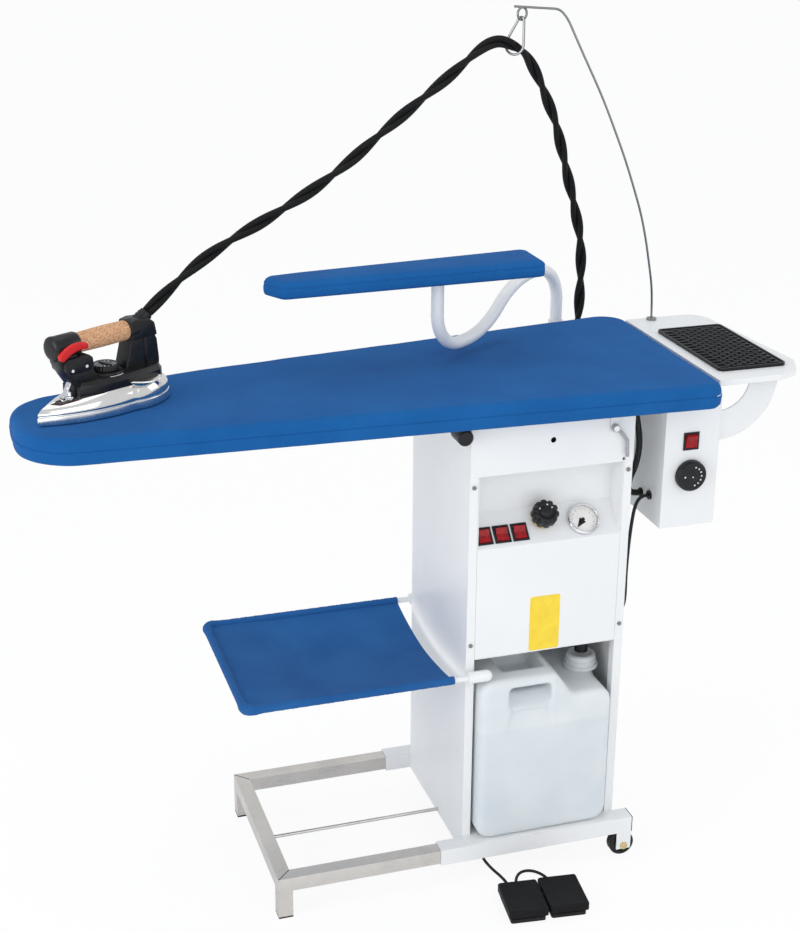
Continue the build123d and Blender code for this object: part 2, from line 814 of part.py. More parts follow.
with BuildPart() as gauge_lens:
    disc(gauge_face.offset(gauge_rim - 3), gauge_radius - 4 - fit_gap, 1.5)
gauge_lens.part.label = "gauge_lens"
export_step(gauge_lens.part, "parts/gauge_lens.step")

# Inside the column

boiler_x = column_left + boiler_from_left
boiler_y = column_back - boiler_from_back
with BuildPart() as boiler:
    disc(Plane((boiler_x, boiler_y, console_foot)), boiler_radius, boiler_height)
    fillet(boiler.edges(), boiler_edge_radius)
    hollow = Plane((boiler_x, boiler_y, console_foot + boiler_wall))
    disc(hollow, boiler_radius - boiler_edge_radius / 2, boiler_height - 2 * boiler_wall, mode=Mode.SUBTRACT)
    disc(hollow, boiler_port, boiler_height, mode=Mode.SUBTRACT)
boiler.part.label = "boiler"
export_step(boiler.part, "parts/boiler.step")

boiler_top = console_foot + boiler_height
with BuildPart() as brass_fittings:
    disc(Plane((boiler_x, boiler_y, boiler_top)), riser_radius, riser_height)
    disc(Plane((boiler_x - safety_valve_off, boiler_y, boiler_top)), collar_radius, riser_height + 7)
    valve_face = on_slope(knob_across, knob_rise, collar_height)
    disc(valve_face, collar_radius, -collar_height)
    disc(valve_face, collar_radius - 3.5, -valve_depth)
    valve_end = valve_face.offset(-valve_depth).origin
    riser_top = Vector(boiler_x, boiler_y, boiler_top + riser_height - 8)
    feed = Plane(valve_end, z_dir=riser_top - valve_end)
    disc(feed, feed_pipe_radius, (riser_top - valve_end).length)
brass_fittings.part.label = "brass_fittings"
export_step(brass_fittings.part, "parts/brass_fittings.step")

with BuildPart() as water_pump:
    pump_floor = console_foot + pump_foot
    block(neck_x - pump_left, neck_x + pump_right, neck_y - pump_front, neck_y + pump_back,
          pump_floor, pump_floor + pump_height)
    pipe_foot = can_foot + can_height - pipe_drop
    disc(Plane((neck_x, neck_y, pipe_foot)), pipe_radius, pump_floor - pipe_foot)
    block(neck_x - pump_left + pump_foot_inset, neck_x + pump_right - pump_foot_inset,
          neck_y + 0.4 * pump_back, neck_y + 0.8 * pump_back, console_foot, pump_floor)
water_pump.part.label = "water_pump"
export_step(water_pump.part, "parts/water_pump.step")

# Water canister, with its grip over a hand hole

can_top = can_foot + can_height
can_step = can_foot + can_shoulder
with BuildPart() as jerrycan:
    with BuildSketch(Plane((can_left, can_front, can_foot), x_dir=(1, 0, 0), z_dir=(0, -1, 0))) as front:
        with BuildLine():
            FilletPolyline((0, 0), (can_width, 0), (can_width, can_shoulder),
                           (can_width - can_slope_foot, can_shoulder),
                           (can_width - can_slope_top, can_height), (0, can_height),
                           radius=3 * [can_corner] + can_slope_radii + [can_corner], close=True)
        make_face()
    extrude(front.sketch, amount=-can_depth)
    fillet(jerrycan.faces().filter_by(Axis.Y).edges(), can_edge_radius)
    grip_x0 = can_left + grip_from_left
    grip_x1 = grip_x0 + grip_width
    grip_foot = can_step + grip_scoop_rise
    grip_top = can_top - grip_bar_height
    with BuildSketch(Plane.YZ.offset(grip_x0)) as recess:
        with BuildLine():
            Polyline((can_front - 1, can_step - grip_scoop_drop), (can_front - 1, grip_top),
                     (can_front + grip_bar, grip_top), (can_front + grip_bar, grip_foot),
                     (can_front + 0.65 * grip_bar, grip_foot), close=True)
        make_face()
    extrude(recess.sketch, amount=grip_x1 - grip_x0, mode=Mode.SUBTRACT)
    block(grip_x0, grip_x1, can_front + grip_bar - 2, can_front + grip_hole_depth, grip_foot, can_top + 1,
          mode=Mode.SUBTRACT)
    neck_foot = Plane((neck_x, neck_y, can_step - collar_depth))
    disc(neck_foot, neck_radius, collar_height_over + collar_depth)
    disc(neck_foot, neck_radius - collar_wall, collar_height_over + collar_depth, mode=Mode.SUBTRACT)
jerrycan.part.label = "jerrycan"
export_step(jerrycan.part, "parts/jerrycan.step")

# Basket

rod_points = [(column_left + socket_length - socket_radius, basket_front_y, basket_height),
              (column_left - basket_reach, basket_front_y, basket_height),
              (column_left - basket_reach, basket_rear_y, basket_height),
              (column_left + socket_length - socket_radius, basket_rear_y, basket_height)]
hem_points = [(column_left - cloth_end, basket_front_y, basket_height), rod_points[1], rod_points[2],
              (column_left - cloth_end, basket_rear_y, basket_height)]


def bent_rod(points, radius, mode=Mode.ADD):
    """A round rod along a U with two equal corners."""
    with BuildLine() as line:
        FilletPolyline(*points, radius=basket_corner)
    with BuildSketch(Plane(line.wires()[0] ^ 0)) as section:
        Circle(radius)
    sweep(section.sketch, path=line.wires()[0], mode=mode)


with BuildPart() as basket_frame:
    bent_rod(rod_points, basket_rod_radius)
basket_frame.part.label = "basket_frame"
export_step(basket_frame.part, "parts/basket_frame.step")

hem_reach = basket_rod_radius + fit_gap + hem_wall / 2
sheet_stations = [(column_left - basket_reach + hem_reach, 0.1), (column_left - 0.75 * basket_reach, 0.6),
                  (column_left - 0.4 * basket_reach, 1), (column_left - cloth_end, 0.9)]
with BuildPart() as basket_cloth:
    for station_x, share in sheet_stations:
        sag = cloth_sag * share
        start = Vector(basket_front_y + hem_reach, basket_height)
        end = Vector(basket_rear_y - hem_reach, basket_height)
        middle = Vector((start.X + end.X) / 2, basket_height - sag)
        drop = Vector(0, -cloth_thickness)
        with BuildSketch(Plane.YZ.offset(station_x)):
            with BuildLine():
                ThreePointArc(start, middle, end)
                Line(end, end + drop)
                ThreePointArc(end + drop, middle + drop, start + drop)
                Line(start + drop, start)
            make_face()
    loft()
    bent_rod(hem_points, basket_rod_radius + fit_gap + hem_wall)
    bent_rod(rod_points, basket_rod_radius + fit_gap, mode=Mode.SUBTRACT)
basket_cloth.part.label = "basket_cloth"
export_step(basket_cloth.part, "parts/basket_cloth.step")

# Ironing board

board_corners = [at(*board_front_right), at(*board_back_right), at(*board_back_knee),
                 at(*board_nose_back), at(*board_nose_front)]


def board_layer(inset, foot, top, edge_radius=0, mode=Mode.ADD):
    """A slab with the board's outline, drawn in all round, with rounded upper edges."""
    with BuildPart(mode=Mode.PRIVATE) as layer:
        with BuildSketch(Plane.XY.offset(foot)) as outline:
            with BuildLine():
                FilletPolyline(*board_corners, radius=board_radii, close=True)
            make_face()
            if inset:
                offset(amount=-inset, mode=Mode.REPLACE)
        extrude(outline.sketch, amount=top - foot)
        if edge_radius:
            fillet(layer.faces().sort_by(Axis.Z)[-1].edges(), edge_radius)
    add(layer.part, mode=mode)


post_x, post_y = at(post_across, post_deep)
board_top = board_foot + board_thickness
pan_foot = board_foot + cover_cloth + fit_gap
pan_top = pan_foot + pan_depth
pad_foot = pan_top + sheet + fit_gap
pad_top = board_top - cover_cloth - fit_gap
skin = cover_cloth + fit_gap
fan_x = column_left + fan_across
fan_y = column_front + fan_deep
with BuildPart() as board_pan:
    board_layer(skin, pan_foot, pan_top)
    board_layer(skin + pan_sheet, pan_foot + pan_sheet, pan_top, mode=Mode.SUBTRACT)
    disc(Plane((fan_x, fan_y, pan_foot - 1)), fan_radius / 2, pan_sheet + 2, mode=Mode.SUBTRACT)
    disc(Plane((post_x, post_y, board_foot)), arm_tube_radius + running_gap + socket_wall, 32)
    disc(Plane((post_x, post_y, arm_foot - fit_gap)), arm_tube_radius + running_gap, 40, mode=Mode.SUBTRACT)
    foot_top = board_foot - fit_gap
    block(post_x - 15, post_x + 15, post_y - 97, post_y + 14, foot_top - bracket_sheet, foot_top)
    block(post_x - 15, post_x + 15, post_y - 97, post_y - 69, foot_top, pan_foot)
    disc(Plane((post_x, post_y, foot_top)), arm_tube_radius + running_gap + socket_wall, fit_gap)
board_pan.part.label = "board_pan"
export_step(board_pan.part, "parts/board_pan.step")

with BuildPart() as heated_grid:
    board_layer(skin, pan_top, pan_top + sheet)
    for lane in range(element_lanes):
        lane_y = column_front + element_from_front + lane * element_pitch
        block(column_left + element_left, column_left + element_right, lane_y, lane_y + element_width,
              pan_top - element_width, pan_top)
heated_grid.part.label = "heated_grid"
export_step(heated_grid.part, "parts/heated_grid.step")

with BuildPart() as board_pad:
    board_layer(skin, pad_foot, pad_top, board_edge_radius - skin)
board_pad.part.label = "board_pad"
export_step(board_pad.part, "parts/board_pad.step")

with BuildPart() as board_cover:
    board_layer(0, board_foot, board_top, board_edge_radius)
    board_layer(cover_cloth, board_foot + cover_cloth, board_top - cover_cloth,
                board_edge_radius - cover_cloth, mode=Mode.SUBTRACT)
    board_layer(hem_width, board_foot - 1, board_foot + 2 * cover_cloth, mode=Mode.SUBTRACT)
board_cover.part.label = "board_cover"
export_step(board_cover.part, "parts/board_cover.step")

# Hinge plates, shaft and latch lug under the board

plate_gap = fit_gap
plates_y = (ears_y[0] - bracket_sheet - plate_gap, ears_y[1] + bracket_sheet + plate_gap)
shaft_front = column_front + knob_pivot_front - knob_pivot_length / 2
lug_y = column_front - latch_stand_off + latch_wire_radius + fit_gap
latch_x = column_right - latch_from_right
with BuildPart() as board_hinge:
    for plate_y in plates_y:
        with BuildSketch(Plane((pivot_x, plate_y, pivot_height), x_dir=(1, 0, 0), z_dir=(0, -1, 0))) as plate:
            Circle(ear_radius - 1)
            with BuildLine():
                flare = column_top - pivot_height + 5
                foot = pan_foot - pivot_height
                Polyline((-ear_radius + 1, 0), (ear_radius - 1, 0), (ear_radius, flare - 2),
                         (hinge_foot_half, flare), (hinge_foot_half, foot), (-hinge_foot_half, foot),
                         (-hinge_foot_half, flare), close=True)
            make_face()
        extrude(plate.sketch, amount=-bracket_sheet)
    shaft_start = Plane((pivot_x, shaft_front, pivot_height), z_dir=(0, 1, 0))
    disc(shaft_start, shaft_radius, plates_y[1] + bracket_sheet - shaft_front)
    lug_half = latch_lug_width / 2
    block(latch_x - lug_half, latch_x + lug_half, lug_y, lug_y + sheet, latch_height - lug_half, pan_foot)
    pin_start = Plane((latch_x, lug_y, latch_height), z_dir=(0, -1, 0))
    pin_length = 2 * latch_wire_radius + 3 * fit_gap
    disc(pin_start, latch_wire_radius, pin_length)
    disc(pin_start.offset(pin_length), latch_wire_radius + 2, sheet)
board_hinge.part.label = "board_hinge"
export_step(board_hinge.part, "parts/board_hinge.step")

with BuildPart() as pivot_knob:
    knob_start = Plane((pivot_x, shaft_front - knob_pivot_length / 2, pivot_height), z_dir=(0, 1, 0))
    disc(knob_start, knob_pivot_radius, knob_pivot_length)
    chamfer(pivot_knob.edges(), 2)
    disc(knob_start.offset(6), shaft_radius + running_gap, knob_pivot_length, mode=Mode.SUBTRACT)
pivot_knob.part.label = "pivot_knob"
export_step(pivot_knob.part, "parts/pivot_knob.step")

latch_y = column_front - latch_stand_off
latch_points = [(latch_x + across, latch_y, latch_height + rise) for across, rise in [(0, 0)] + latch_bends]
with BuildPart() as latch_hook:
    with BuildLine() as bend:
        FilletPolyline(*latch_points, radius=latch_bend_radius)
    with BuildSketch(Plane(bend.wires()[0] ^ 0)) as section:
        Circle(latch_wire_radius)
    sweep(section.sketch, path=bend.wires()[0])
    eye = Plane((latch_x, latch_y - latch_wire_radius, latch_height), z_dir=(0, 1, 0))
    disc(eye, 2.2 * latch_wire_radius, 2 * latch_wire_radius)
    disc(eye, latch_wire_radius + running_gap, 2 * latch_wire_radius, mode=Mode.SUBTRACT)
latch_hook.part.label = "latch_hook"
export_step(latch_hook.part, "parts/latch_hook.step")

# Suction fan, hung under the board inside the column's open top

fan_top = pan_foot
fan_foot = fan_top - fan_depth
with BuildPart() as fan_unit:
    disc(Plane((fan_x, fan_y, fan_foot)), fan_radius, fan_depth)
    disc(Plane((fan_x, fan_y, fan_foot + fan_wall)), fan_radius - fan_wall, fan_depth, mode=Mode.SUBTRACT)
    disc(Plane((fan_x, fan_y, fan_foot - 1)), motor_shaft_radius + 4, fan_wall + 2, mode=Mode.SUBTRACT)
    block(fan_x - 30, fan_x + 30, fan_y + fan_radius / 2, fan_y + fan_radius + 1,
          fan_foot + 8, fan_foot + 48, mode=Mode.SUBTRACT)
    disc(Plane((fan_x, fan_y, fan_foot)), motor_radius, -motor_length)
    fillet(fan_unit.edges().sort_by(Axis.Z)[0], 6)
    disc(Plane((fan_x, fan_y, fan_foot)), motor_shaft_radius + running_gap, -motor_length / 2,
         mode=Mode.SUBTRACT)
fan_unit.part.label = "fan_unit"
export_step(fan_unit.part, "parts/fan_unit.step")

with BuildPart() as fan_impeller:
    wheel_foot = fan_foot + fan_wall + 4
    disc(Plane((fan_x, fan_y, wheel_foot)), impeller_radius, 2)
    with BuildSketch(Plane((fan_x, fan_y, wheel_foot + 2))) as blades:
        with PolarLocations(impeller_radius * 0.7, 12):
            Rectangle(impeller_radius * 0.5, 1.5, rotation=25)
    extrude(blades.sketch, amount=impeller_depth)
    disc(Plane((fan_x, fan_y, wheel_foot)), 14, impeller_depth)
    disc(Plane((fan_x, fan_y, fan_foot - motor_length / 2 + 2)), motor_shaft_radius,
         motor_length / 2 + impeller_depth)
fan_impeller.part.label = "fan_impeller"
export_step(fan_impeller.part, "parts/fan_impeller.step")

# Heater control box

box_left = column_left + box_from_left
box_right = box_left + box_width
box_front = column_front + box_from_front
box_back = box_front + box_depth
box_top = board_foot - box_clear
box_dial_height = box_foot + box_dial_rise
box_rocker_height = box_dial_height + box_rocker_over_dial
with BuildPart() as control_box:
    block(box_left, box_right, box_front, box_back, box_foot, box_top)
    block(box_left + sheet, box_right - sheet, box_front + sheet, box_back - sheet,
          box_foot + sheet, box_top - sheet, mode=Mode.SUBTRACT)
    block(box_left, box_left + box_tab, box_front + box_tab_inset, box_back - box_tab_inset,
          box_top, pan_foot)
    rocker_spot = Plane((box_left + box_rocker_across, box_front, box_rocker_height),
                        x_dir=(1, 0, 0), z_dir=(0, -1, 0))
    slab(rocker_spot.offset(1), bezel_width - 5, bezel_height - 4, -sheet - 2, mode=Mode.SUBTRACT)
    for deep, height in grommet_spots:
        side_hole = Plane((box_left - 1, box_front + deep, height), z_dir=(1, 0, 0))
        disc(side_hole, grommet_radius - 2, sheet + 2, mode=Mode.SUBTRACT)
    bracket_y = column_front + arm_from_front
    ring_top = rest_top - rest_skirt - arm_drop
    with BuildSketch(Plane((box_right, bracket_y, ring_top), x_dir=(1, 0, 0), z_dir=(0, -1, 0))) as band:
        Circle(arm_inner + arm_band)
        Circle(arm_inner, mode=Mode.SUBTRACT)
        span = arm_inner + arm_band
        with Locations((span, -span)):
            Rectangle(2 * span, 2 * span, mode=Mode.INTERSECT)
        web = rest_skirt + arm_drop - rest_sheet
        with Locations((arm_inner + arm_band / 2, web / 2)):
            Rectangle(arm_band, web)
    extrude(band.sketch, amount=-arm_plate)
control_box.part.label = "control_box"
export_step(control_box.part, "parts/control_box.step")

box_rocker = rocker(rocker_spot, rocker_tilt)
box_rocker.label = "box_rocker"
export_step(box_rocker, "parts/box_rocker.step")

with BuildPart() as box_dial:
    dial_face = Plane((box_left + box_dial_across, box_front - fit_gap, box_dial_height),
                      x_dir=(1, 0, 0), z_dir=(0, -1, 0))
    disc(dial_face, box_dial_radius, box_dial_depth)
    fillet(box_dial.faces().sort_by(Axis.Y)[0].edges(), 2)
box_dial.part.label = "box_dial"
export_step(box_dial.part, "parts/box_dial.step")

with BuildPart() as caps_and_glands:
    for bar_y in (front_bar_y, rear_bar_y):
        mouth = Plane((sleeve_right, bar_y, sleeve_mid), x_dir=(0, 1, 0), z_dir=(1, 0, 0))
        slab(mouth, sleeve_size, sleeve_size, cap_plate)
        plug_size = sleeve_size - 2 * sleeve_wall - 2 * fit_gap
        slab(mouth, plug_size, plug_size, -cap_plug)
    for deep in (buffer_inset, column_depth - buffer_inset):
        buffer_x = column_right - flange / 2
        disc(Plane((buffer_x, column_front + deep, column_top)), buffer_radius,
             pan_foot - fit_gap - column_top)
    pedal_seat = Plane((column_left + pedal_gland_across, column_front + pedal_gland_deep, sleeve_top),
                       z_dir=(0, 0, -1))
    disc(pedal_seat, pedal_cord_radius + 3, pedal_gland_length)
    supply_seat = Plane((column_right, supply_gland_y, supply_gland_z), z_dir=(1, 0, 0))
    disc(supply_seat, supply_radius + 5, gland_plate)
    disc(supply_seat, supply_radius + 2.7, -sheet - 4)
    hose_seat = Plane((hose_gland_x, back_sheet_y + sheet, hose_gland_z), z_dir=(0, 1, 0))
    disc(hose_seat, hose_radius + 6, hose_gland_length)
    disc(hose_seat, hose_radius + 2.7, -sheet - 6)
caps_and_glands.part.label = "caps_and_glands"
export_step(caps_and_glands.part, "parts/caps_and_glands.step")

with BuildPart() as box_fittings:
    rocker_bezel(rocker_spot)
    lead_seat = Plane((column_left + lead_gland_across, column_front + lead_gland_deep, pan_foot),
                      z_dir=(0, 0, -1))
    disc(lead_seat, grommet_radius, lead_gland_length)
    for deep, height in grommet_spots:
        side_seat = Plane((box_left, box_front + deep, height), z_dir=(-1, 0, 0))
        disc(side_seat, grommet_radius, grommet_plate)
        disc(side_seat, grommet_radius - 2.3, -sheet - 4)
box_fittings.part.label = "box_fittings"
export_step(box_fittings.part, "parts/box_fittings.step")

# Iron tray

rest_corners = [at(rest_left + across, rest_front + deep) for across, deep in rest_shape]
rest_corners += [at(rest_left + rest_width_front, rest_front + rest_side_start),
                 at(rest_left + rest_width_back, rest_back), at(rest_left, rest_back)]
with BuildPart() as iron_tray:
    with BuildSketch(Plane.XY.offset(rest_top - rest_skirt)) as rest_outline:
        with BuildLine():
            FilletPolyline(*rest_corners, radius=rest_radii, close=True)
        make_face()
    extrude(rest_outline.sketch, amount=rest_skirt)
    with BuildSketch(Plane.XY.offset(rest_top - rest_skirt)) as rest_inner:
        add(rest_outline.sketch)
        offset(amount=-rest_sheet, mode=Mode.REPLACE)
    extrude(rest_inner.sketch, amount=rest_skirt - rest_sheet, mode=Mode.SUBTRACT)
    tab_y0 = box_back + rest_tab_from_box
    tab_y1 = tab_y0 + rest_tab_width
    tab_x = column_left + rest_left
    tab_end = tab_x - rest_tab_reach
    block(tab_x, tab_x + rest_sheet, tab_y0, tab_y1, box_top - rest_sheet, rest_top - rest_skirt)
    block(tab_end, tab_x + rest_sheet, tab_y0, tab_y1, box_top - rest_sheet, box_top)
    block(tab_end, tab_end + rest_tab_foot, tab_y0, tab_y1, box_top, pan_foot)
iron_tray.part.label = "iron_tray"
export_step(iron_tray.part, "parts/iron_tray.step")

with BuildPart() as tray_mat:
    mat_x, mat_y = at(mat_left, mat_front)
    with BuildSketch(Plane.XY.offset(rest_top)) as mat:
        with Locations((mat_x + mat_width / 2, mat_y + mat_depth / 2)):
            RectangleRounded(mat_width, mat_depth, mat_corner)
    extrude(mat.sketch, amount=mat_thickness)
    with BuildSketch(Plane.XY.offset(rest_top + mat_thickness)) as ribs:
        with Locations((mat_x + mat_width / 2, mat_y + mat_depth / 2)):
            with GridLocations(0, mat_rib_pitch, 1, mat_rib_rows):
                Rectangle(mat_width - 2 * mat_rim, mat_rib)
    extrude(ribs.sketch, amount=mat_rib_height)
tray_mat.part.label = "tray_mat"
export_step(tray_mat.part, "parts/tray_mat.step")

# Hose holder

wire_y = column_front + wire_from_front
ring_x = column_left + ring_across
hook_up = Vector(math.sin(math.radians(hook_lean)), 0, math.cos(math.radians(hook_lean)))
hook_way = Vector(math.sin(math.radians(hook_turn)), math.cos(math.radians(hook_turn)), 0)
hook_normal = hook_way - hook_up * hook_way.dot(hook_up)
hook_top = Vector(ring_x, wire_y, ring_height - ring_radius + 2 * wire_radius + fit_gap)
hook_plane = Plane(hook_top, x_dir=hook_up.cross(hook_normal), z_dir=hook_normal)
with BuildPart() as hose_holder:
    wire_spots = [(across, to_ring(share)) for across, share in wire_shares]
    wire_spots = [(wire_foot_across, rest_top + wire_radius)] + wire_spots
    wire_spots.append((wire_tip_across, ring_height + ring_radius + wire_radius))
    wire_route = [(column_left + across, wire_y, height) for across, height in wire_spots]
    with BuildLine() as line:
        FilletPolyline(*wire_route, radius=bend_radii(wire_route))
    with BuildSketch(Plane(line.wires()[0] ^ 0)) as section:
        Circle(wire_radius)
    sweep(section.sketch, path=line.wires()[0])
    disc(Plane((wire_route[0][0], wire_y, rest_top)), wire_foot_radius, 2 * wire_radius)
    with Locations(Plane((ring_x, wire_y, ring_height), z_dir=Vector(0, 1, 0).rotate(Axis.Z, ring_turn))):
        Torus(ring_radius, wire_radius)
    with BuildPart(mode=Mode.PRIVATE) as snap_hook:
        with BuildSketch(hook_plane) as pear:
            with Locations((0, -hook_top_radius)):
                Circle(hook_top_radius + wire_radius)
            with Locations((0, -hook_top_radius - hook_length)):
                Circle(hook_bottom_radius + wire_radius)
            make_hull()
        with BuildSketch(hook_plane) as pear_hole:
            with Locations((0, -hook_top_radius)):
                Circle(hook_top_radius - wire_radius)
            with Locations((0, -hook_top_radius - hook_length)):
                Circle(hook_bottom_radius - wire_radius)
            make_hull()
        extrude(pear.sketch, amount=wire_radius, both=True)
        extrude(pear_hole.sketch, amount=2 * wire_radius, both=True, mode=Mode.SUBTRACT)
        fillet(snap_hook.edges(), 1.2)
    add(snap_hook.part)
hose_holder.part.label = "hose_holder"
export_step(hose_holder.part, "parts/hose_holder.step")

# Sleeve board on its swivelling arm

reach_x, reach_y = at(arm_across, arm_deep)
arm_span = math.hypot(reach_x - post_x, reach_y - post_y)
arm_plane = Plane((post_x, post_y, 0), x_dir=(reach_x - post_x, reach_y - post_y, 0),
                  z_dir=Vector(reach_x - post_x, reach_y - post_y, 0).cross(Vector(0, 0, 1)))
arm_shape = [(0, arm_foot), (0, arm_apex)] + arm_bends
arm_shape += [(arm_span, arm_bottom), (arm_span, sleeve_board_foot)]
with BuildPart() as sleeve_arm:
    with BuildLine(arm_plane) as arm_line:
        FilletPolyline(*arm_shape, radius=arm_bend_radii)
    with BuildSketch(Plane(arm_line.wires()[0] ^ 0)) as section:
        Circle(arm_tube_radius)
        Circle(arm_tube_radius - arm_tube_wall, mode=Mode.SUBTRACT)
    sweep(section.sketch, path=arm_line.wires()[0])
    block(reach_x - arm_plate_length / 2, reach_x + arm_plate_length / 2, reach_y - arm_plate_width / 2,
          reach_y + arm_plate_width / 2, sleeve_board_foot, sleeve_board_foot + arm_plate_sheet)
sleeve_arm.part.label = "sleeve_arm"
export_step(sleeve_arm.part, "parts/sleeve_arm.step")

with BuildPart() as sleeve_board:
    with BuildSketch(Plane.XY.offset(sleeve_board_foot + arm_plate_sheet)) as sleeve_outline:
        with BuildLine():
            FilletPolyline(*[at(*corner) for corner in sleeve_corners], radius=sleeve_radii, close=True)
        make_face()
    extrude(sleeve_outline.sketch, amount=sleeve_board_thickness - arm_plate_sheet)
    fillet(sleeve_board.faces().sort_by(Axis.Z)[-1].edges(), sleeve_upper_edge)
    fillet(sleeve_board.faces().sort_by(Axis.Z)[0].edges(), sleeve_lower_edge)
sleeve_board.part.label = "sleeve_board"
export_step(sleeve_board.part, "parts/sleeve_board.step")

# Iron: its plane has X along the iron's axis, Z up from the board's cover

iron_x, iron_y = at(*iron_tip)
turn = math.radians(iron_turn)
iron_plane = Plane((iron_x, iron_y, board_top + iron_rest_gap), x_dir=(math.cos(turn), math.sin(turn), 0),
                   z_dir=(0, 0, 1))


def iron_outline(inset):
    """The sole's outline: two curved sides from the tip to a rounded heel."""
    tip = 1.6 * inset
    heel = iron_length - inset
    wide = iron_half_width - inset
    with BuildLine() as edge:
        widest = (sole_widest[0], wide * sole_widest[1])
        corner = (heel - heel_corner[0], wide * heel_corner[1])
        side = ThreePointArc((tip, 0), (tip + sole_arc_start[0], wide * sole_arc_start[1]), widest)
        quarter = ThreePointArc(widest, (sole_rear[0], wide * sole_rear[1]), corner)
        ThreePointArc(corner, (heel, 0), (corner[0], -corner[1]))
        mirror(side)
        mirror(quarter)
    make_face(edge.line.edges())


with BuildPart() as iron_sole:
    with BuildSketch(iron_plane):
        iron_outline(0)
    extrude(amount=sole_thickness)
iron_sole.part.label = "iron_sole"
export_step(iron_sole.part, "parts/iron_sole.step")

with BuildPart() as iron_shell:
    with BuildSketch(iron_plane.offset(sole_thickness)):
        iron_outline(1)
    with BuildSketch(iron_plane.offset(sole_thickness + skirt_rise * 0.6)):
        iron_outline(5)
    with BuildSketch(iron_plane.offset(sole_thickness + skirt_rise)):
        iron_outline(14)
    loft()
iron_shell.part.label = "iron_shell"
export_step(iron_shell.part, "parts/iron_shell.step")

deck_foot = sole_thickness + skirt_rise
deck_top = deck_foot + deck_thickness
iron_side = Plane(iron_plane.origin, x_dir=iron_plane.x_dir, z_dir=iron_plane.y_dir * -1)
dial_spot = iron_plane.x_dir * dial_along
boot_start = iron_plane.origin + iron_plane.x_dir * boot_along
boot_start += iron_plane.z_dir * (handle_height + boot_rise)
boot_way = Vector(*route(hose_upper_points)[0]) - boot_start
with BuildPart() as iron_body:
    with BuildSketch(iron_plane.offset(deck_foot)) as deck:
        with BuildLine():
            Polyline(*deck_half, *[(along, -aside) for along, aside in reversed(deck_half)], close=True)
        make_face()
    extrude(deck.sketch, amount=deck_thickness)
    with BuildSketch(iron_side.offset(-post_width / 2)) as posts:
        with BuildLine():
            Polyline(*front_post, close=True)
        make_face()
        with BuildLine():
            Polyline(*rear_post, close=True)
        make_face()
    extrude(posts.sketch, amount=post_width)
    grip = Plane(iron_plane.origin + iron_plane.z_dir * handle_height, z_dir=iron_plane.x_dir)
    barrel_radius = handle_radius + 2.5
    disc(grip.offset(barrel_start), barrel_radius, cork_start - barrel_start)
    disc(grip.offset(cork_end), barrel_radius, cork_start - barrel_start - 8)
    dial_seat = Plane(iron_plane.offset(deck_top).origin + dial_spot, z_dir=(0, 0, 1))
    disc(dial_seat, dial_collar_radius, dial_collar_height)
    boot = Plane(boot_start, z_dir=boot_way)
    disc(boot, hose_radius + 1, boot_length)
    lever_pin = Plane(iron_side.origin + iron_side.x_dir * lever_pivot[0] + iron_side.y_dir * lever_pivot[1],
                      z_dir=iron_side.z_dir)
    disc(lever_pin.offset(2), lever_pin_radius + running_gap, barrel_radius, mode=Mode.SUBTRACT)
iron_body.part.label = "iron_body"
export_step(iron_body.part, "parts/iron_body.step")

with BuildPart() as iron_handle:
    disc(grip.offset(cork_start), handle_radius, cork_end - cork_start)
    fillet(iron_handle.edges().filter_by(GeomType.CIRCLE), 2)
iron_handle.part.label = "iron_handle"
export_step(iron_handle.part, "parts/iron_handle.step")

lever_face = barrel_radius + fit_gap
with BuildPart() as iron_button:
    with BuildSketch(iron_side.offset(lever_face)) as lever:
        with BuildLine():
            ThreePointArc(*lever_arcs[:3])
            Line(lever_arcs[2], lever_arcs[3])
            ThreePointArc(*lever_arcs[3:])
            Line(lever_arcs[5], lever_arcs[0])
        make_face()
    extrude(lever.sketch, amount=lever_width)
    disc(lever_pin.offset(2 + fit_gap), lever_pin_radius, lever_face - 2)
iron_button.part.label = "iron_button"
export_step(iron_button.part, "parts/iron_button.step")

with BuildPart() as iron_dial:
    disc(dial_seat.offset(dial_collar_height + fit_gap), iron_dial_radius, iron_dial_height)
    fillet(iron_dial.edges().sort_by(Axis.Z)[-1], 1.5)
iron_dial.part.label = "iron_dial"
export_step(iron_dial.part, "parts/iron_dial.step")

# Pedals: a treadle on a rear pin over a flat base, one beside the other


def pedal_plane(centre):
    """The floor under a pedal, with Y towards the column."""
    spot_x, spot_y = at(*centre)
    return Plane((spot_x, spot_y, 0), x_dir=(1, 0, 0)).rotated((0, 0, pedal_turn))


pin_deep = pedal_length / 2 - 8
pin_height = pedal_base + 6
lug_width = 22


def pin_seat(plane, width):
    """A plane at the pedal's pin, looking along it, half a width to one side."""
    spot = plane.origin + plane.y_dir * pin_deep + plane.z_dir * pin_height - plane.x_dir * width / 2
    return Plane(spot, x_dir=plane.y_dir, z_dir=plane.x_dir)


with BuildPart() as pedal_bases:
    for centre in (pedal_left_centre, pedal_right_centre):
        floor = pedal_plane(centre)
        with BuildSketch(floor) as foot:
            RectangleRounded(pedal_width - 6, pedal_length - 6, 4)
        extrude(foot.sketch, amount=pedal_base)
        seat = pin_seat(floor, lug_width)
        with BuildSketch(seat) as lug:
            Circle(5)
            with Locations((0, -pin_height / 2)):
                Rectangle(10, pin_height)
            Circle(pedal_pin_radius + running_gap, mode=Mode.SUBTRACT)
        extrude(lug.sketch, amount=lug_width)
        back_y = pedal_length / 2 - 3
        for spread in cord_spreads[centre]:
            gland_spot = floor.origin + floor.x_dir * spread + floor.y_dir * back_y + floor.z_dir * 4
            disc(Plane(gland_spot, z_dir=floor.y_dir), pedal_cord_radius + 1.2, 4)
pedal_bases.part.label = "pedal_bases"
export_step(pedal_bases.part, "parts/pedal_bases.step")


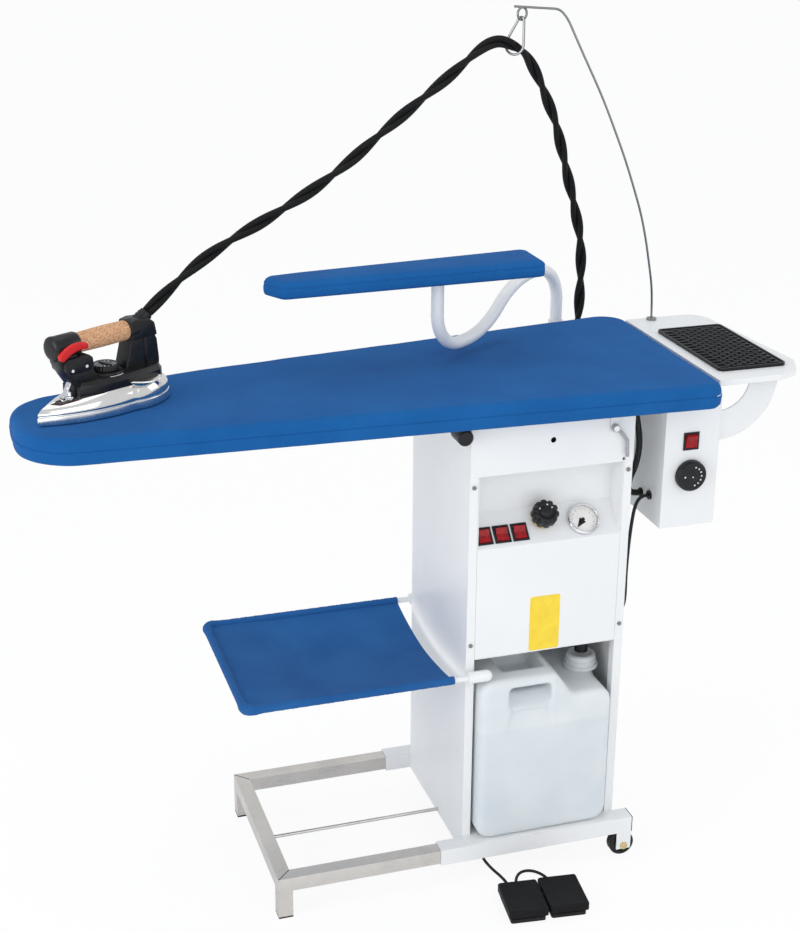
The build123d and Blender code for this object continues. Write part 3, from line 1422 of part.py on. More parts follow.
def treadle(centre):
    """The pressed half of a pedal, hollow over the base's lug, with its pin."""
    floor = pedal_plane(centre)
    with BuildPart() as pressed:
        with BuildSketch(floor.offset(pedal_base + treadle_gap)) as outline:
            RectangleRounded(pedal_width, pedal_length, 3)
        extrude(outline.sketch, amount=pedal_height - pedal_base - treadle_gap)
        chamfer(pressed.faces().sort_by(Axis.Z)[-1].edges(), 3)
        pocket = Plane(floor.origin + floor.y_dir * pin_deep, x_dir=floor.x_dir, z_dir=floor.z_dir)
        with BuildSketch(pocket.offset(pedal_base)) as hollow:
            Rectangle(lug_width + 4 * fit_gap, 16)
        extrude(hollow.sketch, amount=12, mode=Mode.SUBTRACT)
        disc(pin_seat(floor, lug_width + 8), pedal_pin_radius, lug_width + 8)
    return pressed.part


pedal_left = treadle(pedal_left_centre)
pedal_left.label = "pedal_left"
export_step(pedal_left, "parts/pedal_left.step")
pedal_right = treadle(pedal_right_centre)
pedal_right.label = "pedal_right"
export_step(pedal_right, "parts/pedal_right.step")

# Cords

boot_mouth = tuple(boot.offset(boot_length).origin)
hose_upper = cord_tube("hose_upper", [boot_mouth] + route(hose_upper_points), hose_radius)
hose_upper.label = "hose_upper"
export_step(hose_upper, "parts/hose_upper.step")
hose_lower = cord_tube("hose_lower", route(hose_lower_points), hose_radius)
hose_lower.label = "hose_lower"
export_step(hose_lower, "parts/hose_lower.step")
element_lead = cord_tube("element_lead", route(element_lead_points), lead_radius)
element_lead.label = "element_lead"
export_step(element_lead, "parts/element_lead.step")
supply_cable = cord_tube("supply_cable", route(supply_points), supply_radius)
supply_cable.label = "supply_cable"
export_step(supply_cable, "parts/supply_cable.step")
pedal_cable = cord_tube("pedal_cable", route(pedal_cable_points), pedal_cord_radius)
pedal_cable.label = "pedal_cable"
export_step(pedal_cable, "parts/pedal_cable.step")
pedal_link = cord_tube("pedal_link", route(pedal_link_points), pedal_cord_radius)
pedal_link.label = "pedal_link"
export_step(pedal_link, "parts/pedal_link.step")
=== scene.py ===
import math
import bpy
import bmesh
from mathutils import Matrix, Vector


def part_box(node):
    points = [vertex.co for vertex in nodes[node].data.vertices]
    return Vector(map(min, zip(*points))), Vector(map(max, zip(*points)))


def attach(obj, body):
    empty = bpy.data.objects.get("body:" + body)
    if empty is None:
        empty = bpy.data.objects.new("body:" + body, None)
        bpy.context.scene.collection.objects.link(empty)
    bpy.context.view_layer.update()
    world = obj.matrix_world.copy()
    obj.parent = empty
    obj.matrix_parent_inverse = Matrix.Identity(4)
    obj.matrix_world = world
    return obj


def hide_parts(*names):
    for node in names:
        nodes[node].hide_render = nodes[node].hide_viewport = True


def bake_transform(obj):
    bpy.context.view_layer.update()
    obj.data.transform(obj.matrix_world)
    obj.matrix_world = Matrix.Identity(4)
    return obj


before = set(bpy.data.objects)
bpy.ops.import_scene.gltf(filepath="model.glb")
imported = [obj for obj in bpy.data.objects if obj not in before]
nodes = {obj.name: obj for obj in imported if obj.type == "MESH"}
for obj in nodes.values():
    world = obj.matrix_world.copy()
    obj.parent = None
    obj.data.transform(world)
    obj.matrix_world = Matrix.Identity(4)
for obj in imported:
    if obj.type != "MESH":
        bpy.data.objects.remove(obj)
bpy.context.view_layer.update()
bpy.ops.object.select_all(action="DESELECT")

# Studio and camera.  A pale floor carries the table and its soft shadow, and large lamps stand in
# front, to the right and overhead.  The camera stands where the photograph was taken from.
sheet = 0.0015
cover_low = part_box("upper_cover")[0]
column_corner = Vector((cover_low.x, cover_low.y + sheet, 0))


def place(across, deep, height):
    """A place in millimetres from the column's front left corner at the floor."""
    return column_corner + Vector((across, deep, height)) / 1000


camera_yaw = math.radians(17.76)
camera_pitch = math.radians(-21.31)
camera_roll = math.radians(0.38)
sight = Vector((math.sin(camera_yaw) * math.cos(camera_pitch), math.cos(camera_yaw) * math.cos(camera_pitch),
                math.sin(camera_pitch)))
right = Vector((math.cos(camera_yaw), -math.sin(camera_yaw), 0))
up = right.cross(sight)
image_right = right * math.cos(camera_roll) + up * math.sin(camera_roll)
image_up = up * math.cos(camera_roll) - right * math.sin(camera_roll)
bpy.ops.object.camera_add()
camera = bpy.context.object
camera.matrix_world = Matrix((image_right, image_up, -sight)).transposed().to_4x4()
camera.location = place(-863.66, -2328.43, 1741.88)
camera.data.sensor_fit = "HORIZONTAL"
camera.data.sensor_width = 36
camera.data.lens = 75.14
camera.data.clip_end = 100
bpy.context.scene.camera = camera
bpy.context.scene.view_settings.view_transform = "Standard"


def add_node(holder, kind, **values):
    """A shader node of a material or the world, with its settings and input values."""
    node = holder.node_tree.nodes.new("ShaderNode" + kind)
    for key, value in values.items():
        if key in node.inputs:
            node.inputs[key].default_value = value
        else:
            setattr(node, key, value)
    return node


def wire(holder, source, target):
    """Joins two sockets of a material or the world."""
    holder.node_tree.links.new(source, target)


daylight = bpy.data.worlds.new("daylight")
bpy.context.scene.world = daylight
daylight.use_nodes = True
sky = daylight.node_tree.nodes["Background"]
sky.inputs["Color"].default_value = (0.94, 0.97, 1.0, 1)
sky.inputs["Strength"].default_value = 0.79
seen_sky = add_node(daylight, "Background", Color=(1, 1, 1, 1))
sky_rays = add_node(daylight, "LightPath")
seen_ray = add_node(daylight, "Math", operation="MAXIMUM")
sky_choice = add_node(daylight, "MixShader")
for source, target in (
        (sky_rays.outputs["Is Camera Ray"], seen_ray.inputs[0]),
        (sky_rays.outputs["Is Transmission Ray"], seen_ray.inputs[1]),
        (seen_ray.outputs[0], sky_choice.inputs[0]),
        (sky.outputs[0], sky_choice.inputs[1]),
        (seen_sky.outputs[0], sky_choice.inputs[2]),
        (sky_choice.outputs[0], daylight.node_tree.nodes["World Output"].inputs["Surface"])):
    wire(daylight, source, target)


def soft_lamp(name, spot, aim, size, power):
    """A square lamp that faces a point on the table."""
    bpy.ops.object.light_add(type="AREA", location=spot)
    lamp = bpy.context.object
    lamp.name = name
    lamp.rotation_euler = (Vector(aim) - Vector(spot)).to_track_quat("-Z", "Y").to_euler()
    lamp.data.size = size
    lamp.data.energy = power


soft_lamp("front_lamp", (0.7, -3.4, 2.3), (0, 0, 0.7), 2.4, 19)
soft_lamp("right_lamp", (3.4, -0.6, 2.2), (0, 0, 0.7), 1.8, 14)
soft_lamp("top_lamp", (-0.6, 0.2, 3.6), (0, 0, 0.6), 2.4, 16)
soft_lamp("left_lamp", (-3.2, -1.2, 1.6), (0, 0, 0.6), 1.8, 34)
soft_lamp("low_lamp", (-0.9, -3.2, 0.8), (0.1, 0, 0.4), 1.8, 10)

bpy.ops.mesh.primitive_circle_add(vertices=96, radius=30, fill_type="NGON", location=(0, 0, 0))
floor = bpy.context.object
floor.name = "studio_floor"
paper = bpy.data.materials.new("studio_paper")
paper.use_nodes = True
paper_bsdf = paper.node_tree.nodes["Principled BSDF"]
paper_bsdf.inputs["Base Color"].default_value = (0.93, 0.93, 0.93, 1)
paper_bsdf.inputs["Roughness"].default_value = 0.9
paper_glow = add_node(paper, "Emission", Color=(1, 1, 1, 1))
paper_rays = add_node(paper, "LightPath")
paper_share = add_node(paper, "Math", operation="MULTIPLY")
paper_share.inputs[1].default_value = 0.90
paper_choice = add_node(paper, "MixShader")
for source, target in (
        (paper_rays.outputs["Is Camera Ray"], paper_share.inputs[0]),
        (paper_share.outputs[0], paper_choice.inputs[0]),
        (paper_bsdf.outputs[0], paper_choice.inputs[1]),
        (paper_glow.outputs[0], paper_choice.inputs[2]),
        (paper_choice.outputs[0], paper.node_tree.nodes["Material Output"].inputs["Surface"])):
    wire(paper, source, target)
floor.data.materials.append(paper)


# Steam hose and leads.  The iron's hose and its lead are two round braided sheaths twisted about each
# other.  They rise from the handle to the snap hook, and go down behind the board to the column's back.
def finish(name, colour, roughness, metallic=0.0, **shader):
    """A material with its base colour, roughness and metal share, and more shader inputs by name."""
    made = bpy.data.materials.new(name)
    made.use_nodes = True
    bsdf = made.node_tree.nodes["Principled BSDF"]
    bsdf.inputs["Base Color"].default_value = (*colour, 1)
    bsdf.inputs["Roughness"].default_value = roughness
    bsdf.inputs["Metallic"].default_value = metallic
    for key, value in shader.items():
        bsdf.inputs[key.replace("_", " ")].default_value = value
    return made


def bsdf_of(made):
    """The material's main shader."""
    return made.node_tree.nodes["Principled BSDF"]


def coordinates(made, stretch=(1, 1, 1), turn=(0, 0, 0)):
    """Object coordinates in metres, stretched and turned."""
    source = add_node(made, "TexCoord")
    mapping = add_node(made, "Mapping")
    mapping.inputs["Scale"].default_value = stretch
    mapping.inputs["Rotation"].default_value = turn
    wire(made, source.outputs["Object"], mapping.inputs["Vector"])
    return mapping.outputs["Vector"]


def noise(made, size, detail=2, stretch=(1, 1, 1)):
    """Soft noise whose grains are about a size in metres."""
    grain = add_node(made, "TexNoise", Detail=detail)
    grain.inputs["Scale"].default_value = 1 / size
    wire(made, coordinates(made, stretch), grain.inputs["Vector"])
    return grain.outputs["Fac"]


def span(made, source, low, high, from_low=0.3, from_high=0.7):
    """A value taken from one range to another."""
    ranged = add_node(made, "MapRange")
    for slot_name, value in (("From Min", from_low), ("From Max", from_high), ("To Min", low), ("To Max", high)):
        ranged.inputs[slot_name].default_value = value
    wire(made, source, ranged.inputs["Value"])
    return ranged.outputs["Result"]


def tint(made, source, first, second):
    """A base colour that a value carries from one shade to another."""
    mix = add_node(made, "Mix", data_type="RGBA")
    shades = [socket for socket in mix.inputs if socket.type == "RGBA"]
    for socket, shade in zip(shades, (first, second)):
        socket.default_value = (*shade, 1)
    wire(made, source, mix.inputs["Factor"])
    blended = next(socket for socket in mix.outputs if socket.type == "RGBA")
    wire(made, blended, bsdf_of(made).inputs["Base Color"])


def relief(made, height, depth, soft_edge=0.0):
    """Bump from a height between 0 and 1, as deep as the real relief, over edges rounded by a radius."""
    bump = add_node(made, "Bump")
    bump.inputs["Distance"].default_value = depth
    wire(made, height, bump.inputs["Height"])
    if soft_edge:
        rounding = add_node(made, "Bevel", samples=4)
        rounding.inputs["Radius"].default_value = soft_edge
        wire(made, rounding.outputs["Normal"], bump.inputs["Normal"])
    wire(made, bump.outputs["Normal"], bsdf_of(made).inputs["Normal"])


def combine(made, operation, first, second):
    """The sum, product or other sum-up of two values, where each is a socket or a number."""
    result = add_node(made, "Math", operation=operation)
    for index, value in enumerate((first, second)):
        if isinstance(value, (int, float)):
            result.inputs[index].default_value = value
        else:
            wire(made, value, result.inputs[index])
    return result.outputs[0]


def braided_sheath():
    """Black braid: two crossing sets of yarns that follow the sheath's own length and girth."""
    made = finish("braided_sheath", (0.006, 0.006, 0.007), 0.62, Specular_IOR_Level=0.2)
    source = add_node(made, "UVMap", uv_map="along_and_round")
    split = add_node(made, "SeparateXYZ")
    wire(made, source.outputs["UV"], split.inputs[0])
    along = combine(made, "MULTIPLY", split.outputs["X"], 2600)
    around = combine(made, "MULTIPLY", split.outputs["Y"], 12 * math.tau)
    crossing = combine(made, "MULTIPLY", combine(made, "SINE", combine(made, "ADD", along, around), 0),
                       combine(made, "SINE", combine(made, "SUBTRACT", along, around), 0))
    raised = span(made, crossing, 0, 1, -1, 1)
    tint(made, raised, (0.002, 0.002, 0.002), (0.011, 0.011, 0.012))
    relief(made, raised, 0.0006)
    return made


def add_object(name, data):
    """A new object in the scene, at the origin."""
    piece = bpy.data.objects.new(name, data)
    bpy.context.scene.collection.objects.link(piece)
    return piece


def piece_from(name, bm):
    """A new piece with the mesh that was built."""
    skin = bpy.data.meshes.new(name)
    bm.to_mesh(skin)
    bm.free()
    return add_object(name, skin)


def cord_line(name, points):
    """A cord's smooth line, one NURBS spline with its points as control points."""
    line = bpy.data.curves.new(name, "CURVE")
    line.dimensions = "3D"
    spline = line.splines.new("NURBS")
    spline.points.add(len(points) - 1)
    for knot, spot in zip(spline.points, points):
        knot.co = (*spot, 1)
    spline.order_u = 3
    spline.use_endpoint_u = True
    spline.resolution_u = 16
    return add_object(name, line)


def line_points(name, points):
    """The points of a cord's smooth line."""
    guide = cord_line(name + "_guide", points)
    bpy.context.view_layer.update()
    run = bpy.data.meshes.new_from_object(guide)
    spots = [vertex.co.copy() for vertex in run.vertices]
    bpy.data.objects.remove(guide)
    return spots


def lengths_along(spots):
    """How far each point lies along its line."""
    travelled = [0.0]
    for before, here in zip(spots, spots[1:]):
        travelled.append(travelled[-1] + (here - before).length)
    return travelled


def tube_rings(bm, uv_layer, centres, directions, sides_at, travelled, radius, sides):
    """Skins a tube over its centres, with its length and girth as UVs, and closes its ends."""
    rings = []
    for centre, direction, side in zip(centres, directions, sides_at):
        other = direction.cross(side)
        rings.append([bm.verts.new(centre + radius * (math.cos(step * math.tau / sides) * side
                                                      + math.sin(step * math.tau / sides) * other))
                      for step in range(sides)])
    for index in range(len(rings) - 1):
        for step in range(sides):
            following = (step + 1) % sides
            face = bm.faces.new((rings[index][step], rings[index][following], rings[index + 1][following],
                                 rings[index + 1][step]))
            face.smooth = True
            for loop, (ring, turn) in zip(face.loops, ((index, step), (index, step + 1), (index + 1, step + 1),
                                                       (index + 1, step))):
                loop[uv_layer].uv = (travelled[ring], turn / sides)
    bm.faces.new(reversed(rings[0]))
    bm.faces.new(rings[-1])


def carried_frames(spots):
    """Directions along a line and a side direction at each point that never twists."""
    directions = [(spots[min(index + 1, len(spots) - 1)] - spots[max(index - 1, 0)]).normalized()
                  for index in range(len(spots))]
    side = directions[0].cross(Vector((0, 0, 1))).normalized()
    sides_at = []
    for direction in directions:
        side = (side - direction * side.dot(direction)).normalized()
        sides_at.append(side)
    return directions, sides_at


hose_radius = 0.010
strand_radius = 0.0051
upper_pitch = 0.205
lower_pitch = 0.150
first_turn = 0.4
sheath = braided_sheath()


def twisted_pair(name, points, pitch, first_turn):
    """Two braided sheaths twisted about one line, as one mesh, with the line's points and last turn."""
    spots = line_points(name, points)
    travelled = lengths_along(spots)
    directions, sides_at = carried_frames(spots)
    bm = bmesh.new()
    uv_layer = bm.loops.layers.uv.new("along_and_round")
    offset = hose_radius - strand_radius
    for half in (0, math.pi):
        centres = []
        for spot, direction, side, distance in zip(spots, directions, sides_at, travelled):
            turn = first_turn + half + math.tau * distance / pitch
            centres.append(spot + offset * (math.cos(turn) * side + math.sin(turn) * direction.cross(side)))
        strand_directions, strand_sides = carried_frames(centres)
        tube_rings(bm, uv_layer, centres, strand_directions, strand_sides, travelled, strand_radius, 14)
    piece = piece_from(name, bm)
    piece.data.materials.append(sheath)
    return piece, spots, travelled[-1]


iron_tip = place(-665.2, 54.1, 0)
iron_turn = math.radians(30)
board_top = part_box("board_cover")[1].z
iron_gap = 0.0003


def on_iron(along, aside, rise):
    """A place on the iron in millimetres: along its axis from the tip, to its far side and up from the sole."""
    forward = Vector((math.cos(iron_turn), math.sin(iron_turn), 0))
    across = Vector((-math.sin(iron_turn), math.cos(iron_turn), 0))
    return iron_tip + Vector((0, 0, board_top + iron_gap + rise / 1000)) + (forward * along + across * aside) / 1000


boot_start = on_iron(197.6, 0, 121)
hose_first = place(-417.4, 174.8, 1075.3)
boot_end = boot_start + (hose_first - boot_start).normalized() * 0.019
hose_upper_points = [boot_end, hose_first] + [place(*spot) for spot in (
    (-339.8, 195.1, 1118.3), (-254, 217.5, 1152.7), (-153.8, 243.6, 1201.8), (-61, 267.8, 1266.2),
    (23.4, 291, 1319.5), (79, 306, 1355.5), (120, 317.5, 1384), (146, 325, 1393), (166.5, 330.6, 1391),
    (183.8, 335.5, 1382.8))]
hose_upper, upper_spots, upper_length = twisted_pair("steam_hose_to_hook", hose_upper_points, upper_pitch, first_turn)
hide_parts("hose_upper")
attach(hose_upper, "iron")

hose_lower_points = [place(*spot) for spot in (
    (184.5, 335.7, 1382.5), (203, 340.9, 1373.8), (224, 350, 1350), (250, 361.5, 1307), (283, 374.7, 1244),
    (303, 382.5, 1181), (328, 392.5, 1106.5), (353, 402.5, 1024.8), (357, 405, 950), (356, 406, 873),
    (348, 407, 800), (328, 407, 725), (303, 407, 664), (278, 404, 626), (256, 393, 594), (241, 368, 571),
    (236, 336, 560), (236, 302.5, 560))]
hose_lower, lower_spots, _ = twisted_pair("steam_hose_from_hook", hose_lower_points, lower_pitch,
                                          first_turn + math.tau * upper_length / upper_pitch)
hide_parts("hose_lower")
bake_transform(hose_lower)


def lead_rubber():
    """Black lead rubber, a little dusty, with a fine drawn grain."""
    made = finish("lead_rubber", (0.008, 0.008, 0.009), 0.42, Specular_IOR_Level=0.3)
    dust = noise(made, 0.012, 3)
    tint(made, span(made, dust, 0, 1), (0.006, 0.006, 0.006), (0.013, 0.013, 0.014))
    relief(made, noise(made, 0.0008), 0.00008)
    return made


cable_rubber = lead_rubber()


def lead(name, node, points, radius, body):
    """A round rubber lead for its CAD tube: a smooth curve, or a mesh where no body is named."""
    piece = cord_line(name, points)
    piece.data.bevel_depth = radius
    piece.data.bevel_resolution = 5
    piece.data.use_fill_caps = True
    piece.data.materials.append(cable_rubber)
    path = None
    if not body:
        path = line_points(name, points)
        skin = bpy.data.meshes.new_from_object(piece)
        bpy.data.objects.remove(piece)
        bm = bmesh.new()
        bm.from_mesh(skin)
        bmesh.ops.remove_doubles(bm, verts=bm.verts, dist=0.00001)
        bm.to_mesh(skin)
        bm.free()
        piece = add_object(name, skin)
    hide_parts(node)
    if body:
        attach(piece, body)
    return piece


lead("heater_lead", "element_lead", [place(*spot) for spot in (
    (312, 62, 845.1), (313, 61, 822), (319, 60, 796), (325, 61, 768), (327, 65, 738), (325, 71, 711),
    (321, 78, 692), (319, 83, 673), (323.5, 87, 661.5), (333, 88, 655), (345, 88, 655))],
     0.0055, "board")
box_cable = lead("box_cable", "supply_cable", [place(*spot) for spot in (
    (345, 55.4, 662.4), (334.5, 55.4, 662.4), (325, 54, 655.5), (318.5, 51, 643), (312.5, 45.5, 622),
    (306, 38, 592), (301.5, 32.5, 558), (300.5, 31.5, 525), (303, 35, 496), (305.5, 41, 476),
    (306.5, 46.5, 463.5), (304, 50.5, 454.5), (297.5, 52, 450), (290, 52, 450))],
     0.003, None)
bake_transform(box_cable)
lead("pedal_lead", "pedal_cable", [place(*spot) for spot in (
    (66.47, -75.87, 4), (68.06, -61.96, 4), (66, -32, 3), (57, 0, 3.2), (53, 32, 3), (58, 68, 3),
    (70, 106, 3.2), (84, 140, 3.6), (94, 162, 9), (102, 182, 25), (107, 195, 43), (109, 200, 58), (109, 200, 72))],
     0.0026, "base")
lead("pedal_link_lead", "pedal_link", [place(*spot) for spot in (
    (78.4, -77.23, 4), (80.21, -61.33, 4), (89, -38, 3.2), (104, -24, 3), (122, -26, 3.2), (136, -41, 3),
    (141.77, -65.7, 4), (139.96, -81.6, 4))],
     0.0026, "base")


# Base and column.  The base is two square steel sleeves with castor forks, and the column is folded
# sheet screwed to it.  Both are powder coated in a warm white with a faint orange-peel surface.
def powder_coat():
    """White powder coat: faint orange peel, and edges rounded as bent sheet is."""
    made = finish("powder_coat", (0.80, 0.805, 0.81), 0.38, Coat_Weight=0.12, Coat_Roughness=0.25)
    patches = noise(made, 0.16, 3)
    tint(made, span(made, patches, 0, 1), (0.775, 0.785, 0.795), (0.815, 0.818, 0.82))
    wire(made, span(made, noise(made, 0.03), 0.33, 0.45), bsdf_of(made).inputs["Roughness"])
    relief(made, noise(made, 0.0022, 1), 0.00005, soft_edge=0.0008)
    return made


def dress(made, *names):
    """Gives a material to CAD nodes."""
    for name in names:
        solid = nodes[name]
        solid.data.materials.clear()
        solid.data.materials.append(made)


def brushed_steel(name, colour, stretch, roughness, depth=0.00003):
    """Steel ground along one direction, with a few dull patches."""
    made = finish(name, colour, roughness, 1.0)
    grain = noise(made, 0.0007, 2, stretch)
    dull = noise(made, 0.05, 3)
    wire(made, span(made, combine(made, "ADD", grain, dull), roughness - 0.07, roughness + 0.09, 0.7, 1.3),
         bsdf_of(made).inputs["Roughness"])
    tint(made, span(made, dull, 0, 1), tuple(0.86 * share for share in colour), colour)
    relief(made, grain, depth, soft_edge=0.0008)
    return made


def moulded_plastic(name, colour, roughness, grain=0.0009, shine=0.3):
    """Moulded black plastic with a fine spark-eroded grain, paler where hands and dust have been."""
    made = finish(name, colour, roughness, Specular_IOR_Level=shine)
    worn = noise(made, 0.02, 4)
    tint(made, span(made, worn, 0, 1), tuple(0.8 * share for share in colour),
         tuple(1.35 * share for share in colour))
    wire(made, span(made, worn, roughness - 0.06, roughness + 0.08), bsdf_of(made).inputs["Roughness"])
    relief(made, noise(made, grain, 2), 0.00004, soft_edge=0.0005)
    return made


white_coat = powder_coat()
bright_zinc = brushed_steel("bright_zinc", (0.40, 0.41, 0.42), (1, 1, 0.15), 0.22)
spring_wire = brushed_steel("spring_wire", (0.30, 0.30, 0.30), (1, 1, 0.15), 0.30)
screw_zinc = brushed_steel("screw_zinc", (0.25, 0.25, 0.26), (1, 1, 1), 0.30)
screw_height = add_node(screw_zinc, "SeparateXYZ")
wire(screw_zinc, coordinates(screw_zinc), screw_height.inputs[0])
near_floor = add_node(screw_zinc, "Math", operation="LESS_THAN")
near_floor.inputs[1].default_value = 0.06
wire(screw_zinc, screw_height.outputs["Z"], near_floor.inputs[0])
tint(screw_zinc, near_floor.outputs[0], (0.25, 0.25, 0.26), (0.72, 0.55, 0.28))
stainless = brushed_steel("stainless", (0.74, 0.70, 0.655), (0.03, 1, 1), 0.30)
black_mould = moulded_plastic("black_mould", (0.010, 0.010, 0.011), 0.38)
dress(white_coat, "base_frame", "left_side_panel", "right_side_panel", "back_panel", "shelves", "upper_cover",
      "control_panel", "basket_frame", "board_pan", "board_hinge", "control_box", "iron_tray", "sleeve_arm",
      "fan_unit")
dress(bright_zinc, "latch_hook")
dress(spring_wire, "hose_holder")
dress(screw_zinc, "fasteners")
dress(stainless, "extension_frame")
dress(black_mould, "foot_caps", "castor_wheel_front", "castor_wheel_rear", "rocker_bezels", "caps_and_glands",
      "box_fittings", "pivot_knob", "water_pump", "fan_impeller", "gauge_needle", "pedal_bases")

# Mitre seams.  The pull-out frame's front and rear tubes are mitred to its end tube, and each joint
# shows as a fine dark line on the top.
def add_piece(piece, made, body, slot_name, *replaced):
    """Gives a finished piece its material, its body and the nodes it stands for. Its slot name is not used."""
    piece.data.materials.clear()
    piece.data.materials.append(made)
    if replaced:
        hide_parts(*replaced)
    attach(piece, body)
    return piece


seam_shadow = brushed_steel("seam_shadow", (0.10, 0.095, 0.09), (1, 1, 1), 0.5)
frame_low, frame_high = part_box("extension_frame")
tube_side = 0.025
seam_half = 0.0012
for name, near_y, way in (("front_mitre", frame_low.y, 1), ("rear_mitre", frame_high.y, -1)):
    bpy.ops.mesh.primitive_plane_add(size=1)
    seam = bpy.context.object
    seam.name = name
    spots = ((seam_half, 0), (tube_side, tube_side - seam_half), (0, seam_half), (tube_side - seam_half, tube_side))
    for vertex, (across, deep) in zip(seam.data.vertices, spots):
        vertex.co = (frame_low.x + 0.0006 + across * 0.97, near_y + way * (0.0006 + deep * 0.97),
                     frame_high.z + 0.00012)
    add_piece(seam, seam_shadow, "extension", "polished_metal")

# Boiler, valve and heaters.  Inside the column stand a stainless boiler and its turned brass valve.  The
# board's heaters are steel rods under a perforated plate, below its padding.
boiler_steel = brushed_steel("boiler_steel", (0.58, 0.57, 0.56), (1, 1, 0.05), 0.33)
turned_brass = brushed_steel("turned_brass", (0.72, 0.53, 0.24), (1, 1, 0.1), 0.27)
element_steel = brushed_steel("element_steel", (0.42, 0.41, 0.41), (0.05, 1, 1), 0.45)
dress(boiler_steel, "boiler")
dress(turned_brass, "brass_fittings")
dress(element_steel, "heated_grid")


# Yellow label.  A plain vinyl label is stuck on the front panel, low on its right half.  It is cut with
# rounded corners.
def deselect():
    """Leaves edit mode and selects nothing, as a clean start for the next piece."""
    if bpy.context.object and bpy.context.object.mode != "OBJECT":
        bpy.ops.object.mode_set(mode="OBJECT")
    bpy.ops.object.select_all(action="DESELECT")


def take(piece):
    """Selects one piece and makes it active."""
    deselect()
    piece.select_set(True)
    bpy.context.view_layer.objects.active = piece


def apply_modifier(piece, kind, **values):
    """Adds a modifier with its settings and applies it."""
    take(piece)
    change = piece.modifiers.new(kind.lower(), kind)
    for key, value in values.items():
        setattr(change, key, value)
    bpy.ops.object.modifier_apply(modifier=change.name)


def close_doubles(piece, reach, outward=True):
    """Merges the points of a piece that lie within a reach, and turns its faces outwards."""
    take(piece)
    bpy.ops.object.mode_set(mode="EDIT")
    bpy.ops.mesh.select_all(action="SELECT")
    bpy.ops.mesh.remove_doubles(threshold=reach)
    if outward:
        bpy.ops.mesh.normals_make_consistent(inside=False)
    bpy.ops.object.mode_set(mode="OBJECT")


def complete(piece, name, edge=0.0, segments=3, smooth=32):
    """Applies the piece's place, closes doubles, turns its faces outwards and rounds its sharp edges."""
    take(piece)
    piece.name = name
    piece.data.name = name
    bpy.ops.object.transform_apply(location=True, rotation=True, scale=True)
    close_doubles(piece, 0.000002)
    if edge:
        apply_modifier(piece, "BEVEL", width=edge, segments=segments, limit_method="ANGLE",
                       angle_limit=math.radians(32))
    take(piece)
    bpy.ops.object.shade_smooth_by_angle(angle=math.radians(smooth))
    return piece


def add_block(low, high):
    """A cube primitive between two corners, in edit-ready state."""
    deselect()
    middle = (Vector(low) + Vector(high)) / 2
    bpy.ops.mesh.primitive_cube_add(size=1, location=middle)
    block = bpy.context.object
    block.scale = Vector(high) - Vector(low)
    bpy.ops.object.transform_apply(location=False, rotation=False, scale=True)
    return block


def round_corners(piece, axis, radius, segments):
    """Rounds the four edges of a block that run along an axis."""
    take(piece)
    bpy.ops.object.mode_set(mode="EDIT")
    bpy.ops.mesh.select_mode(type="EDGE")
    bpy.ops.mesh.select_all(action="DESELECT")
    bpy.ops.object.mode_set(mode="OBJECT")
    for side in piece.data.edges:
        first, second = (piece.data.vertices[index].co for index in side.vertices)
        side.select = abs(first[axis] - second[axis]) > 0.0001
    bpy.ops.object.mode_set(mode="EDIT")
    bpy.ops.mesh.bevel(offset=radius, segments=segments)
    bpy.ops.object.mode_set(mode="OBJECT")


label = add_block(place(112, -0.35, 427), place(166, -0.02, 527))
round_corners(label, 1, 0.004, 5)
complete(label, "yellow_label")
label_vinyl = finish("label_vinyl", (0.86, 0.62, 0.03), 0.35)
tint(label_vinyl, span(label_vinyl, noise(label_vinyl, 0.02, 3), 0, 1), (0.82, 0.58, 0.025), (0.90, 0.66, 0.04))
relief(label_vinyl, noise(label_vinyl, 0.004, 2), 0.00003)
add_piece(label, label_vinyl, "base", "white_sheet")


# Basket cloth.  Blue cotton is stretched over the basket's bent rod, with a sewn channel round it on
# three sides.  It sags a little in the middle and shows long soft folds between the rods.
thread_pitch = 0.0011


def cotton(name, first, second):
    """Royal blue plain-weave cotton: crossing sets of threads, slight slubs and a soft sheen."""
    made = finish(name, first, 0.9, Specular_IOR_Level=0.12, Sheen_Weight=0.03, Sheen_Roughness=0.5)
    split = add_node(made, "SeparateXYZ")
    wire(made, coordinates(made), split.inputs[0])
    threads = [combine(made, "SINE", combine(made, "MULTIPLY", split.outputs[axis], math.tau / thread_pitch), 0)
               for axis in ("X", "Y", "Z")]
    crossing = combine(made, "ADD", combine(made, "ADD", threads[0], threads[1]), threads[2])
    slubs = noise(made, 0.004, 3, (1, 5, 1))
    cloth_height = combine(made, "ADD", span(made, crossing, 0, 0.6, -2, 2), combine(made, "MULTIPLY", slubs, 0.5))
    faded = noise(made, 0.09, 4)
    tint(made, span(made, combine(made, "ADD", combine(made, "MULTIPLY", faded, 0.7),
                                  combine(made, "MULTIPLY", slubs, 0.3)), 0, 1), first, second)
    relief(made, cloth_height, 0.00012)
    return made


blue_cotton = cotton("blue_cotton", (0.014, 0.088, 0.275), (0.022, 0.118, 0.335))
rod_front = -12
rod_rear = 304
rod_outer = -380
rod_level = 399
hem_radius = 7.4
cloth_inner = -25
cloth_corner = 17


def hem_path():
    """The rod's line under the hem, round its two corners."""
    turns = [step / 8 * math.pi / 2 for step in range(9)]
    line = [(cloth_inner, rod_front)]
    line += [(rod_outer + cloth_corner - cloth_corner * math.sin(turn),
              rod_front + cloth_corner - cloth_corner * math.cos(turn)) for turn in turns]
    line += [(rod_outer + cloth_corner - cloth_corner * math.cos(turn),
              rod_rear - cloth_corner + cloth_corner * math.sin(turn)) for turn in turns]
    line.append((cloth_inner, rod_rear))
    return [place(across, deep, rod_level) for across, deep in line]


